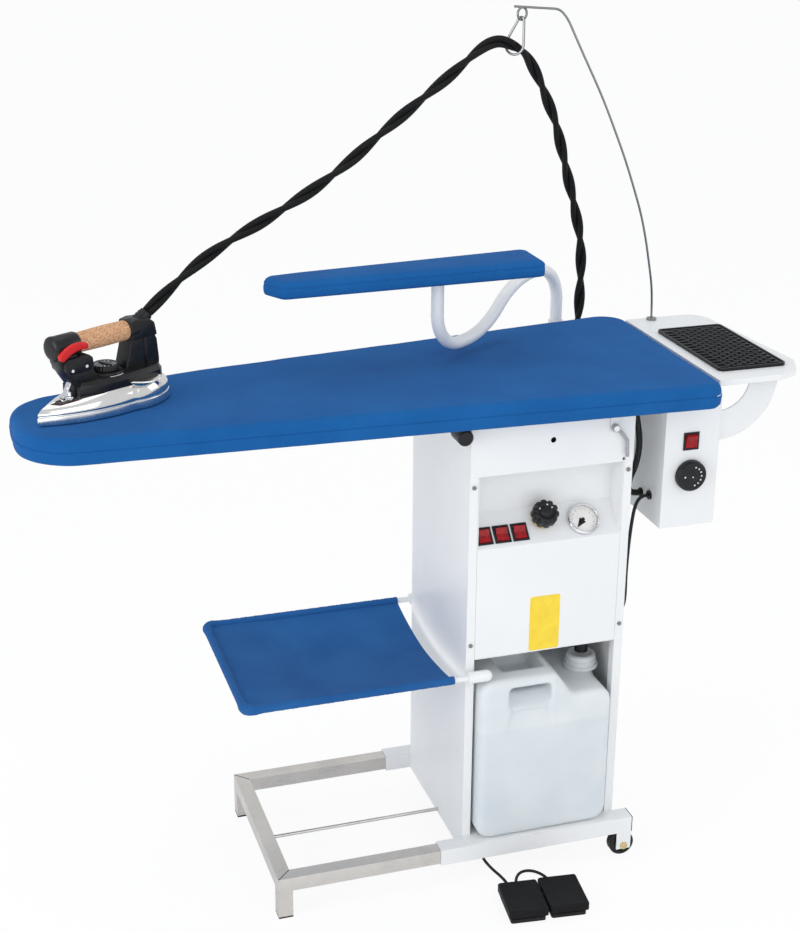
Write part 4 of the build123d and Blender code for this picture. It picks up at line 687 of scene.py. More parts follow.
def basket_sag(across, deep):
    """How far the cloth hangs under the rods at a place, with its long shallow folds."""
    run = (across - rod_outer) / (cloth_inner - rod_outer)
    side = (deep - rod_front) / (rod_rear - rod_front)
    bowl = (4 * side * (1 - side)) ** 0.8
    hold = min(1.0, run * 2.6) ** 1.3
    folds = 0.9 * math.sin(9 * side + 3.2 * run) * math.sin(math.pi * side) * hold
    folds += 0.7 * math.sin(23 * run + 5 * side) * math.exp(-6 * (1 - run)) * math.sin(math.pi * side)
    return 21 * bowl * hold + folds


def basket_fabric():
    """The sagging panel as one grid, thick on both sides."""
    bm = bmesh.new()
    columns, rows = 72, 60
    grid = []
    for i in range(columns + 1):
        line = []
        for j in range(rows + 1):
            across = rod_outer + (cloth_inner - rod_outer) * i / columns
            deep = rod_front + (rod_rear - rod_front) * j / rows
            into_corner = rod_outer + cloth_corner - across
            if into_corner > 0:
                slack = cloth_corner - math.sqrt(max(0.0, cloth_corner ** 2 - into_corner ** 2))
                deep = min(max(deep, rod_front + slack), rod_rear - slack)
            line.append(bm.verts.new(place(across, deep, rod_level + 1.5 - basket_sag(across, deep))))
        grid.append(line)
    for i in range(columns):
        for j in range(rows):
            bm.faces.new((grid[i][j], grid[i + 1][j], grid[i + 1][j + 1], grid[i][j + 1]))
    piece = piece_from("basket_panel", bm)
    close_doubles(piece, 0.00005, outward=False)
    apply_modifier(piece, "SOLIDIFY", thickness=0.0014, offset=-1)
    return piece


def skin_rings(bm, rings):
    """Joins closed rings of vertices with faces, one after another."""
    for ring, following in zip(rings, rings[1:]):
        for step in range(len(ring)):
            after = (step + 1) % len(ring)
            bm.faces.new((ring[step], ring[after], following[after], following[step]))


def basket_hem():
    """The channel round the rod: a soft tube that puckers a little at its stitches."""
    spots = hem_path()
    fine = []
    for before, here in zip(spots, spots[1:]):
        steps = max(1, int((here - before).length / 0.004))
        fine += [before.lerp(here, step / steps) for step in range(steps)]
    fine.append(spots[-1])
    travelled = lengths_along(fine)
    directions, sides_at = carried_frames(fine)
    bm = bmesh.new()
    sides = 20
    rings = []
    for spot, direction, side, distance in zip(fine, directions, sides_at, travelled):
        other = direction.cross(side)
        ring = []
        for step in range(sides):
            turn = step * math.tau / sides
            pucker = 0.25 * math.sin(distance * 820) + 0.2 * math.sin(distance * 310 + 2 * turn)
            turned_out = min((spot - place(rod_outer + 4, deep, rod_level)).length
                             for deep in (rod_front + 4, rod_rear - 4))
            girth = (hem_radius - 0.3 + pucker * abs(math.sin(turn))
                     + 2.6 * math.exp(-(turned_out / 0.016) ** 2)) / 1000
            ring.append(bm.verts.new(spot + girth * (math.cos(turn) * side + math.sin(turn) * other)))
        rings.append(ring)
    skin_rings(bm, rings)
    piece = piece_from("basket_hem", bm)
    apply_modifier(piece, "SOLIDIFY", thickness=0.0012, offset=-1)
    return piece


basket_panel = basket_fabric()
channel = basket_hem()
take(basket_panel)
channel.select_set(True)
bpy.ops.object.join()
bpy.ops.object.shade_smooth_by_angle(angle=math.radians(60))
add_piece(basket_panel, blue_cotton, "basket", "blue_cloth", "basket_cloth")


# Ironing board cover.  A fitted cover of blue cotton over felt is drawn tight by a cord in its hem under
# the board.  Its upper edge is rounded, a seam runs along its side band, and small creases lie near it.
def rounded_outline(corners, radii, spacing):
    """A closed outline through corners rounded by radii, as points a spacing apart."""
    count = len(corners)
    line = []
    for index in range(count):
        before, here, after = (Vector(corners[(index + shift) % count]) for shift in (-1, 0, 1))
        first = (before - here).normalized()
        second = (after - here).normalized()
        half = math.acos(max(-1.0, min(1.0, first.dot(second)))) / 2
        reach = radii[index] / math.tan(half)
        centre = here + (first + second).normalized() * (radii[index] / math.sin(half))
        start, end = here + first * reach, here + second * reach
        start_angle = math.atan2((start - centre).y, (start - centre).x)
        sweep = math.atan2((end - centre).y, (end - centre).x) - start_angle
        while sweep > math.pi:
            sweep -= math.tau
        while sweep < -math.pi:
            sweep += math.tau
        steps = max(2, int(abs(sweep) * radii[index] / spacing))
        line += [centre + radii[index] * Vector((math.cos(start_angle + sweep * step / steps),
                                                 math.sin(start_angle + sweep * step / steps)))
                 for step in range(steps + 1)]
    spread = []
    for index, here in enumerate(line):
        after = line[(index + 1) % len(line)]
        steps = max(1, round((after - here).length / spacing))
        spread += [here.lerp(after, step / steps) for step in range(steps)]
    return [spot for index, spot in enumerate(spread) if (spot - spread[index - 1]).length > 0.2 * spacing]


def outward_at(line, index):
    """The outward direction of a closed outline at a point."""
    ahead = line[(index + 1) % len(line)] - line[index - 1]
    return Vector((ahead.y, -ahead.x)).normalized()


def signed_area(line):
    """The area inside a closed outline, positive when it runs round to the left."""
    return sum(a.x * b.y - b.x * a.y for a, b in zip(line, line[1:] + line[:1])) / 2


board_outline = rounded_outline([(418, -57), (420, 384), (-412, 268.5), (-701, 191.8), (-701, -13.4)],
                                [26, 45, 1000, 85, 95], 4.0)
if signed_area(board_outline) < 0:
    board_outline.reverse()
board_spine = [Vector((-600, 90)), Vector((-200, 105)), Vector((330, 160))]


def to_spine(spot, spine):
    """The nearest place on a board's middle line."""
    best = None
    for before, after in zip(spine, spine[1:]):
        run = after - before
        share = max(0.0, min(1.0, (spot - before).dot(run) / run.length_squared))
        near = before + run * share
        if best is None or (near - spot).length < (best - spot).length:
            best = near
    return best


def drawn_in(line, index, inset, spine):
    """A point of an outline drawn in: straight in at first, then towards the middle line."""
    start = line[index] - outward_at(line, index) * min(inset, 6.0)
    if inset <= 6:
        return start
    way = to_spine(start, spine) - start
    return start + way * min(1.0, (inset - 6) / way.length)


def crease(distance, spread, seed):
    """Soft irregular ripples along an edge."""
    return (0.5 * math.sin(distance / spread + seed) + 0.3 * math.sin(distance / spread * 1.73 + 2.1 * seed)
            + 0.2 * math.sin(distance / spread * 3.1 + 0.7 * seed))


def cover_shell():
    """The cover as rings from its hem under the board, up its side and over the top to the middle line."""
    girth = lengths_along(board_outline)
    edge = 15.5
    foot, top = 849.4, 890.6
    profile = [(40, foot + 0.8), (34, foot + 0.2), (26, foot - 0.2), (16, foot - 0.4), (7, foot - 0.4), (3, foot),
               (1.2, foot + 1.1), (0.2, foot + 3.2), (-0.3, foot + 6), (-0.6, foot + 10), (-0.7, foot + 14),
               (-0.6, foot + 17), (-0.4, foot + 19), (-0.2, foot + 20), (0.6, foot + 20.7), (0.6, foot + 21.4),
               (-0.3, foot + 22.3), (-0.3, foot + 23.6), (-0.2, top - edge)]
    for step in range(1, 10):
        turn = step / 9 * math.pi / 2
        profile.append((edge * (1 - math.cos(turn)), top - edge + edge * math.sin(turn)))
    profile += [(inset, top) for inset in (19, 24, 31, 39, 49, 60)]
    bm = bmesh.new()
    rings = []
    for inset, height in profile:
        ring = []
        for index, spot in enumerate(board_outline):
            outward = outward_at(board_outline, index)
            distance = girth[index]
            ripple, lift = 0.0, 0.0
            if height < top - 1 and inset < 6:
                low = max(0.0, 1 - abs(height - foot - 9) / 14)
                ripple = max(0.75 * low * crease(distance, 17, 1.3) + 0.35 * crease(distance, 7, 4.0) * low, -0.3)
                band = math.exp(-((height - foot - 18.4) / 1.5) ** 2)
                ripple += 0.9 * band * (0.8 + 0.2 * crease(distance, 31, 0.9))
                puckers = max(0.0, 1 - abs(height - foot - 16) / 5) * min(1.0, max(0.15, spot.x / 300))
                ripple += 0.6 * (1 + crease(distance, 3.4, 1.9)) * puckers
            if inset >= 8 and height < foot + 2:
                lift = 0.9 * crease(distance, 3.2, 0.5) * min(1.0, inset / 30)
            if height >= top - 3:
                near = math.exp(-((inset - 20) / 12) ** 2)
                lift = -0.55 * near * (1 + crease(distance, 23, 2.2)) - 0.25 * (1 + crease(distance, 61, 0.3))
            here = drawn_in(board_outline, index, inset, board_spine) + outward * ripple
            ring.append(bm.verts.new(place(here.x, here.y, height + lift)))
        rings.append(ring)
    inner = [drawn_in(board_outline, index, 60, board_spine) for index in range(len(board_outline))]
    for share in (0.2, 0.42, 0.65, 0.86, 1.0):
        ring = []
        for index, spot in enumerate(inner):
            near = to_spine(spot, board_spine)
            here = spot.lerp(near, share)
            wave = -0.45 * (1 + crease(here.x * 0.7 + here.y, 47, 1.1)) * (1 - share * 0.5)
            wave -= 0.2 * (1 + crease(here.x - 1.3 * here.y, 29, 3.1))
            ring.append(bm.verts.new(place(here.x, here.y, top + wave)))
        rings.append(ring)
    skin_rings(bm, rings)
    piece = piece_from("board_cover_cloth", bm)
    close_doubles(piece, 0.0004)
    return piece


board_cotton = cotton("board_cotton", (0.006, 0.086, 0.285), (0.010, 0.110, 0.340))
cover = cover_shell()
apply_modifier(cover, "SOLIDIFY", thickness=0.0012, offset=-1)
bpy.ops.object.shade_smooth_by_angle(angle=math.radians(60))
add_piece(cover, board_cotton, "board", "blue_cloth", "board_cover", "board_pad")


# Sleeve board.  A narrow board padded and covered in the same cotton, sewn shut round its side just
# under the upper edge, and fixed to a plate on its bent arm.
sleeve_outline = rounded_outline([(186, 158), (186, 256), (-225, 212), (-300, 199), (-268, 139)],
                                 [12, 18, 400, 22, 16], 2.2)
if signed_area(sleeve_outline) < 0:
    sleeve_outline.reverse()


def sleeve_pad():
    """The pad as one closed form: crowned top, seam line round its side, and a flat underside."""
    girth = lengths_along(sleeve_outline)
    foot, top = 1030.2, 1059.5
    spine = [Vector((-250, 174)), Vector((150, 207))]
    profile = [(30, foot), (14, foot), (5, foot + 0.3), (1.5, foot + 1.8), (0.2, foot + 5), (0, foot + 9),
               (0.1, foot + 13), (0.6, foot + 16), (1.5, foot + 17.6), (0.9, foot + 19), (1.6, foot + 21.5),
               (3.8, foot + 24.6), (7.5, foot + 27), (12.5, foot + 28.4), (20, foot + 29), (30, foot + 29.3)]
    bm = bmesh.new()
    rings = []
    for inset, height in profile:
        ring = []
        for index, spot in enumerate(sleeve_outline):
            distance = girth[index]
            right_half = max(0.0, min(1.0, (spot.x + 60) / 160))
            gather = 1.15 * crease(distance, 2.1, 0.9) * (0.3 + 0.7 * right_half)
            above_seam = max(0.0, 1 - abs(height - foot - 21) / 7)
            below_seam = max(0.0, 1 - abs(height - foot - 12) / 9)
            out = above_seam * gather + 0.35 * below_seam * crease(distance, 13, 2.4)
            here = drawn_in(sleeve_outline, index, inset, spine) + outward_at(sleeve_outline, index) * out
            lift = 0.3 * above_seam * gather
            if height > foot + 28:
                lift -= 0.3 * (1 + crease(distance, 31, 1.7))
            ring.append(bm.verts.new(place(here.x, here.y, height + lift)))
        rings.append(ring)
    inner = [drawn_in(sleeve_outline, index, 30, spine) for index in range(len(sleeve_outline))]
    under = []
    for share in (0.35, 0.7, 1.0):
        ring, lower = [], []
        for start in inner:
            here = start.lerp(to_spine(start, spine), share)
            ring.append(bm.verts.new(place(here.x, here.y, top - 0.25 * (1 + crease(here.x, 37, 0.4)))))
            lower.append(bm.verts.new(place(here.x, here.y, foot)))
        rings.append(ring)
        under.append(lower)
    rings = list(reversed(under)) + rings
    skin_rings(bm, rings)
    piece = piece_from("sleeve_board_pad", bm)
    close_doubles(piece, 0.0004)
    bpy.ops.object.shade_smooth_by_angle(angle=math.radians(60))
    return piece


sleeve_cover = sleeve_pad()
add_piece(sleeve_cover, board_cotton, "sleeve_swing", "blue_cloth", "sleeve_board")


# Water canister.  A blown canister of milky polyethylene stands on the column's floor.  Its grip bridges
# a hand hole, its neck takes the pump's pipe, and the water inside shows as a darker, bluer shade.
def loft(name, rings):
    """Skins a closed form over its rings and closes its ends."""
    bm = bmesh.new()
    made = [[bm.verts.new(spot) for spot in ring] for ring in rings]
    skin_rings(bm, made)
    bm.faces.new(list(reversed(made[0])))
    bm.faces.new(made[-1])
    return piece_from(name, bm)


def turned(name, centre, axis, profile, sides=64, lobes=0, depth=0.0, **finishing):
    """A form turned on a lathe: radius and height pairs in millimetres, with lobes where it is gripped."""
    axis = Vector(axis).normalized()
    side = axis.orthogonal().normalized()
    other = axis.cross(side)
    rings = []
    for radius, height, *grip in profile:
        share = grip[0] if grip else 0
        ring = []
        for step in range(sides):
            turn = step * math.tau / sides
            reach = radius - share * depth * (0.5 - 0.5 * math.cos(lobes * turn)) ** 3
            ring.append(Vector(centre) + (reach * (math.cos(turn) * side + math.sin(turn) * other)
                                          + height * axis) / 1000)
        rings.append(ring)
    return complete(loft(name, rings), name, **finishing)


def milky_plastic():
    """Translucent milky polyethylene with water inside up to a level."""
    made = finish("milky_plastic", (0.84, 0.88, 0.90), 0.36, Subsurface_Weight=0.45,
                  Subsurface_Radius=(0.05, 0.055, 0.06), Transmission_Weight=0.10, IOR=1.35)
    split = add_node(made, "SeparateXYZ")
    wire(made, coordinates(made), split.inputs[0])
    wavering = combine(made, "ADD", split.outputs["Z"], combine(made, "MULTIPLY", noise(made, 0.05, 2), 0.006))
    level = add_node(made, "MapRange", interpolation_type="SMOOTHSTEP")
    level.inputs["From Min"].default_value = 0.292
    level.inputs["From Max"].default_value = 0.300
    wire(made, wavering, level.inputs["Value"])
    cloudy = noise(made, 0.09, 3)
    shade = combine(made, "ADD", combine(made, "MULTIPLY", level.outputs["Result"], 0.35),
                    combine(made, "MULTIPLY", span(made, cloudy, 0, 1), 0.65))
    tint(made, shade, (0.68, 0.73, 0.77), (0.80, 0.83, 0.84))
    relief(made, noise(made, 0.012, 2), 0.0003)
    return made


def soften(node, name, voxel, rounds):
    """A soft-edged copy of a CAD node, as blow moulding leaves it."""
    deselect()
    piece = add_object(name, nodes[node].data.copy())
    piece.data.materials.clear()
    close_doubles(piece, 0.00001, outward=False)
    apply_modifier(piece, "REMESH", mode="VOXEL", voxel_size=voxel, use_smooth_shade=True)
    apply_modifier(piece, "SMOOTH", factor=0.5, iterations=rounds)
    return piece


slot_foot = 327
slot_height = 52
slot_half = 36
slot_flare = 14
slot_depth = 0.006
canister = soften("jerrycan", "water_canister", 0.0032, 9)
can_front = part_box("jerrycan")[0].y
for vertex in canister.data.vertices:
    across = (vertex.co.x - place(110, 0, 0).x) * 1000
    fall = (slot_foot - vertex.co.z * 1000) / slot_height
    inside = slot_half + slot_flare * fall - abs(across)
    if vertex.co.y < can_front + 0.009 and -0.02 < fall < 1 and inside > 0:
        vertex.co.y += slot_depth * min(1.0, 1 - fall) * min(1.0, inside / 5)
neck_rings = turned("neck_rings", place(241, 70, 346), (0, 0, 1),
                    [(24, 0), (29.5, 0), (30.5, 1), (30.5, 4.6), (29.4, 5.6), (26.6, 6), (26.6, 9), (27.6, 9.8),
                     (27.6, 13.4), (26.6, 14.4), (25.6, 14.6), (25.6, 22), (25, 23.4), (21.6, 23.4), (21.4, 18)],
                    sides=72, smooth=30)
take(canister)
neck_rings.select_set(True)
bpy.ops.object.join()
bpy.ops.object.shade_smooth_by_angle(angle=math.radians(50))
add_piece(canister, milky_plastic(), "canister", "natural_plastic", "jerrycan")


# Console fittings.  Three red rockers sit in black cases, a lobed black knob turns the steam valve, and a
# chromed pressure gauge has a white face.  All of them are let into the sloping panel.
slope_rise = math.sqrt(0.5)
slope_across = Vector((1, 0, 0))
slope_up = Vector((0, slope_rise, slope_rise))
slope_out = Vector((0, -slope_rise, slope_rise))
slope_foot = place(0, 0, 625)


def on_slope(across, rise, proud):
    """A place on the sloping panel in millimetres."""
    return slope_foot + (slope_across * across + slope_up * rise + slope_out * proud) / 1000


def gloss(name, colour, roughness, dark=0.75):
    """Glossy moulded plastic, a little uneven."""
    made = finish(name, colour, roughness, Specular_IOR_Level=0.3)
    uneven = noise(made, 0.006, 3)
    tint(made, span(made, uneven, 0, 1), tuple(dark * share for share in colour), colour)
    relief(made, noise(made, 0.0015, 2), 0.00002, soft_edge=0.0006)
    return made


red_window = gloss("red_window", (0.42, 0.003, 0.008), 0.25, 0.45)
dress(red_window, "rocker_left", "rocker_middle", "rocker_right", "box_rocker")
white_print = gloss("white_print", (0.82, 0.82, 0.82), 0.5)
ink = gloss("dial_ink", (0.02, 0.02, 0.02), 0.6)

knob_spot = (138.6, 42)
knob_middle = on_slope(*knob_spot, 8.3)
steam_grip = turned("steam_knob_grip", knob_middle, slope_out,
                    [(19.5, 0, 0.2), (21.5, 1.2, 0.6), (22.5, 3.5, 1), (22.5, 17, 1), (22.2, 20, 1), (21, 22.6, 0.9),
                     (18.6, 24, 0.5), (15.5, 24.3, 0), (14.6, 23.4, 0), (13.8, 22.6, 0), (10.5, 22.5, 0),
                     (9.6, 23.6, 0), (8.6, 25.2, 0), (6, 26, 0)], sides=160, lobes=10, depth=3.6, smooth=50)
add_piece(steam_grip, black_mould, "steam_valve", "black_plastic", "steam_knob")
brass_ring = turned("valve_ring", on_slope(*knob_spot, 3.0), slope_out,
                    [(13, 0), (18.4, 0), (19.4, 0.8), (19.4, 3.4), (18.4, 4.4), (13, 4.6)], sides=72, smooth=40)
add_piece(brass_ring, turned_brass, "base", "brass")
mark_reach = 0.0124
for index, turn in enumerate((0.5, 1.25, 2.6)):
    mark = turned(f"knob_mark_{index}", knob_middle + (slope_across * math.cos(turn) + slope_up * math.sin(turn))
                  * mark_reach + slope_out * 0.0223, slope_out, [(1.5, 0), (1.5, 0.35), (0.7, 0.45)],
                  sides=20, smooth=40)
    add_piece(mark, white_print, "steam_valve", "black_plastic")

chrome = brushed_steel("chrome", (0.74, 0.74, 0.76), (1, 1, 1), 0.12)
gauge_middle = on_slope(210, 31, 0)
gauge_shell = turned("gauge_shell", gauge_middle, slope_out,
                     [(24, -20), (24.5, 0), (28, 0), (28.2, 1.5), (28.2, 4.5), (27.6, 6.6), (26.2, 7.8), (25, 7.9),
                      (24.2, 7.2), (23.8, 5), (23.6, 1.4), (23.2, 0.2)], sides=96, smooth=45)
add_piece(gauge_shell, chrome, "base", "polished_metal", "gauge_case")
gauge_face = turned("gauge_face", gauge_middle, slope_out, [(23.6, 0.6), (23.6, 1.15), (22.4, 1.2), (1, 1.2)],
                    sides=96, smooth=30)
dial_white = gloss("dial_white", (0.84, 0.84, 0.82), 0.5, 0.95)
add_piece(gauge_face, dial_white, "base", "polished_metal")


def radial_marks(name, centre, out, up_way, count, first, last, inner, outer, width, rise):
    """A fan of thin printed marks between two angles round a dial, joined as one piece."""
    side_way = up_way.cross(out)
    deselect()
    marks = []
    for step in range(count):
        turn = math.radians(first + (last - first) * step / (count - 1))
        way = side_way * math.sin(turn) + up_way * math.cos(turn)
        cross = out.cross(way)
        begin = inner if step % 2 == 0 else (inner + outer) / 2
        corners = [centre + (way * reach + cross * half + out * height) / 1000
                   for height in (rise, rise + 0.12) for reach, half in
                   ((begin, -width / 2), (outer, -width / 2), (outer, width / 2), (begin, width / 2))]
        marks.append(loft(f"{name}_{step}", [corners[:4], corners[4:]]))
    take(marks[0])
    for mark in marks[1:]:
        mark.select_set(True)
    bpy.ops.object.join()
    return complete(marks[0], name, smooth=30)


gauge_scale = radial_marks("gauge_scale", gauge_middle, slope_out, slope_up, 21, -135, 135, 17.2, 21.4, 0.55, 1.2)
add_piece(gauge_scale, ink, "base", "black_plastic")
lens_glass = finish("lens_glass", (1, 1, 1), 0.02, Transmission_Weight=1.0, IOR=1.03)
smear = noise(lens_glass, 0.01, 3)
wire(lens_glass, span(lens_glass, smear, 0.0, 0.02), bsdf_of(lens_glass).inputs["Roughness"])
dress(lens_glass, "gauge_lens")

# Heater dial.  The box's temperature dial is a flat black knob with a chamfered rim.  Plain dots are
# printed round its right side, with one more at its left.
box_out = Vector((0, -1, 0))
dial_middle = place(397, 11.7, 711)
heater_dial = turned("heater_dial", dial_middle, box_out,
                     [(25.5, 0, 0.3), (27, 0.8, 1), (27, 8.5, 1), (26.4, 10.5, 0.6), (24.5, 12.4, 0), (22.8, 13.2, 0),
                      (21.8, 13, 0), (21.2, 12.3, 0), (9.6, 12.1, 0), (8.8, 13.1, 0), (7.6, 14, 0), (2, 14.1, 0)],
                     sides=180, lobes=36, depth=0.5, smooth=40)
add_piece(heater_dial, black_mould, "board_dial", "black_plastic", "box_dial")
for index, (turn, reach, dot) in enumerate([(math.radians(72 - 24 * step), 16.8, 1.5) for step in range(7)]
                                           + [(math.pi, 13.5, 1.6), (0.0, 0.0, 1.3)]):
    spot = dial_middle + (Vector((1, 0, 0)) * math.cos(turn) + Vector((0, 0, 1)) * math.sin(turn)) * reach / 1000
    raised = 14.1 if reach == 0 else 12.15
    dot_mark = turned(f"heater_mark_{index}", spot + box_out * raised / 1000, box_out,
                      [(dot, -0.1), (dot, 0.2), (0.6 * dot, 0.3)], sides=18, smooth=40)
    add_piece(dot_mark, white_print, "board_dial", "black_plastic")

# Tray mat.  A black silicone mat lies on the iron tray.  It has a raised rim and crossing ribs that keep
# the hot sole off the sheet.
def pick_faces(piece, test):
    """In edit mode, selects only the faces whose normal passes a test."""
    take(piece)
    bpy.ops.object.mode_set(mode="EDIT")
    bpy.ops.mesh.select_mode(type="FACE")
    bpy.ops.mesh.select_all(action="DESELECT")
    bpy.ops.object.mode_set(mode="OBJECT")
    for face in piece.data.polygons:
        face.select = test(face.normal)
    bpy.ops.object.mode_set(mode="EDIT")


mat_low = place(445, 22, 884)
mat_high = place(570, 262, 888)
mat = add_block(mat_low, mat_high)
round_corners(mat, 2, 0.009, 6)
pick_faces(mat, lambda normal: normal.z > 0.9)
bpy.ops.mesh.extrude_region_move(TRANSFORM_OT_translate={"value": (0, 0, 0.0015)})
bpy.ops.mesh.inset(thickness=0.0035, depth=0)
bpy.ops.mesh.extrude_region_move(TRANSFORM_OT_translate={"value": (0, 0, -0.0022)})
bpy.ops.object.mode_set(mode="OBJECT")
complete(mat, "tray_mat_rubber", edge=0.0005, segments=2)
ribs = []
for first, shift in ((0, 0), (1, 11.5)):
    start = 451 + shift
    rib = add_block(place(start, 31 + first * 7.4, 886.6), place(start + 18.5, 34.6 + first * 7.4, 889.7))
    complete(rib, "mat_rib", edge=0.0008, segments=2)
    for way, count in (((0.023, 0, 0), 5 - first), ((0, 0.0148, 0), 15)):
        apply_modifier(rib, "ARRAY", count=count, use_relative_offset=False, use_constant_offset=True,
                       constant_offset_displace=way)
    ribs.append(rib)
take(mat)
for rib in ribs:
    rib.select_set(True)
bpy.ops.object.join()
mat_rubber = moulded_plastic("mat_rubber", (0.007, 0.007, 0.008), 0.34, 0.0012)
add_piece(mat, mat_rubber, "board", "mat_rubber", "tray_mat")


# Pedals.  Two black foot switches lie on the floor side by side.  Each has a ribbed treadle with bevelled
# edges over a flat base, and turns on a pin at its rear.
pedal_turn = math.radians(-6.5)


def pedal_tread(name, centre, body, node):
    """A treadle: a block with rounded corners, a raised rim and a shallow grained field."""
    tread = add_block((-0.0345, -0.0435, 0.0115), (0.0345, 0.0435, 0.0235))
    round_corners(tread, 2, 0.0045, 6)
    pick_faces(tread, lambda normal: normal.z > 0.9)
    bpy.ops.mesh.inset(thickness=0.0020, depth=0.0024)
    bpy.ops.mesh.inset(thickness=0.0012, depth=0)
    bpy.ops.mesh.inset(thickness=0.0005, depth=-0.0004)
    bpy.ops.object.mode_set(mode="OBJECT")
    pick_faces(tread, lambda normal: normal.z < -0.9)
    bpy.ops.mesh.inset(thickness=0.0016, depth=0)
    bpy.ops.mesh.extrude_region_move(TRANSFORM_OT_translate={"value": (0, 0, 0.004)})
    bpy.ops.object.mode_set(mode="OBJECT")
    complete(tread, name, edge=0.0008, segments=3)
    spot = place(*centre, 0)
    tread.data.transform(Matrix.Translation(spot) @ Matrix.Rotation(pedal_turn, 4, "Z"))
    return add_piece(tread, pedal_rubber, body, "black_plastic", node)


pedal_rubber = moulded_plastic("pedal_rubber", (0.006, 0.006, 0.007), 0.5, 0.0014, 0.15)
pedal_tread("left_treadle", (69.5, -120), "left_pedal", "pedal_left")
pedal_tread("right_treadle", (141, -125.5), "right_pedal", "pedal_right")


# Iron.  A gravity steam iron: a thick aluminium sole, a polished skirt, a black moulded body with a cork
# grip, a red steam lever at its near side and a heat dial behind the front post.
def arc_through(first, middle, last, count):
    """Points on the arc through three points."""
    a, b, c = (Vector(spot) for spot in (first, middle, last))
    d = 2 * (a.x * (b.y - c.y) + b.x * (c.y - a.y) + c.x * (a.y - b.y))
    ux = (a.length_squared * (b.y - c.y) + b.length_squared * (c.y - a.y) + c.length_squared * (a.y - b.y)) / d
    uy = (a.length_squared * (c.x - b.x) + b.length_squared * (a.x - c.x) + c.length_squared * (b.x - a.x)) / d
    centre = Vector((ux, uy))
    radius = (a - centre).length
    start = math.atan2(a.y - uy, a.x - ux)
    finish_turn = math.atan2(c.y - uy, c.x - ux)
    through = math.atan2(b.y - uy, b.x - ux)
    sweep = (finish_turn - start) % math.tau
    if (through - start) % math.tau > sweep:
        sweep -= math.tau
    return [centre + radius * Vector((math.cos(start + sweep * step / count), math.sin(start + sweep * step / count)))
            for step in range(count)]


def sole_outline(inset):
    """The sole's outline in the iron's own millimetres, drawn in by an inset."""
    tip, heel, wide = 1.6 * inset, 240 - inset, 48 - inset
    half = arc_through((tip, 0), (tip + 46, wide * 0.56), (150, wide * 0.97), 30)
    half += arc_through((150, wide * 0.97), (205, wide * 0.93), (heel - 8, wide * 0.55), 16)
    half += arc_through((heel - 8, wide * 0.55), (heel - 2, wide * 0.28), (heel, 0), 8)
    return half + [Vector((heel, 0))] + [Vector((spot.x, -spot.y)) for spot in reversed(half[1:])]


def sole_ring(inset, rise):
    """The sole's outline as places on the iron at a height."""
    return [on_iron(spot.x, spot.y, rise) for spot in sole_outline(inset)]


def skirt_ring(inset, rise):
    """A ring of the polished skirt, which falls away towards the tip."""
    return [on_iron(spot.x, spot.y, 15.2 + (rise - 15.2) * min(1.0, 0.58 + 0.42 * max(0.0, spot.x) / 105))
            for spot in sole_outline(inset)]


sole_metal = brushed_steel("sole_metal", (0.80, 0.80, 0.80), (1, 1, 0.3), 0.20, 0.000004)
polished = brushed_steel("polished_skirt", (0.84, 0.82, 0.79), (1, 1, 1), 0.07, 0.000004)
iron_plate = loft("iron_sole_plate", [sole_ring(*pair) for pair in (
    (3, 0), (0.9, 0.2), (0.2, 0.9), (0, 2.0), (0, 12.4), (0.25, 13.2), (0.9, 13.7), (1.3, 13.7), (1.6, 15.9),
    (4, 16))])
complete(iron_plate, "iron_sole_plate", smooth=35)
add_piece(iron_plate, sole_metal, "iron", "sole_aluminium", "iron_sole")
skirt = loft("iron_skirt", [skirt_ring(*pair) for pair in (
    (1.0, 15.2), (0.6, 16.6), (0.7, 19), (1.5, 23.4), (3.0, 27.8), (5.4, 31.8), (8.6, 35.2), (12.6, 38),
    (17, 40), (22, 41.2), (27, 41.8), (31, 42))])
complete(skirt, "iron_skirt", smooth=60)
add_piece(skirt, polished, "iron", "polished_metal", "iron_shell")


def side_plate(name, outline, low_side, high_side, edge):
    """A moulded block: an outline seen from the iron's side, made between two places across, and bevelled."""
    deselect()
    bpy.ops.mesh.primitive_circle_add(vertices=len(outline), radius=0.01, fill_type="NGON")
    plate = bpy.context.object
    for vertex, (along, rise) in zip(plate.data.vertices, outline):
        vertex.co = on_iron(along, low_side, rise)
    across = on_iron(0, high_side, 0) - on_iron(0, low_side, 0)
    bpy.ops.object.mode_set(mode="EDIT")
    bpy.ops.mesh.select_all(action="SELECT")
    bpy.ops.mesh.extrude_region_move(TRANSFORM_OT_translate={"value": across})
    bpy.ops.object.mode_set(mode="OBJECT")
    return complete(plate, name, edge=edge, segments=3)


def joined(first, *others):
    """Joins finished parts of one moulding."""
    take(first)
    for other in others:
        other.select_set(True)
    bpy.ops.object.join()
    return first


def deck_ring(inset, rise):
    """The body's deck outline, drawn in by an inset."""
    half = [(64 + 1.3 * inset, 21 - 0.7 * inset), (100 + 0.2 * inset, 32 - inset), (150, 36 - inset),
            (210 - 0.5 * inset, 33 - inset), (221 - inset, 23 - 0.7 * inset)]
    outline = half + [(along, -aside) for along, aside in reversed(half)]
    return [on_iron(along, aside, rise) for along, aside in outline]


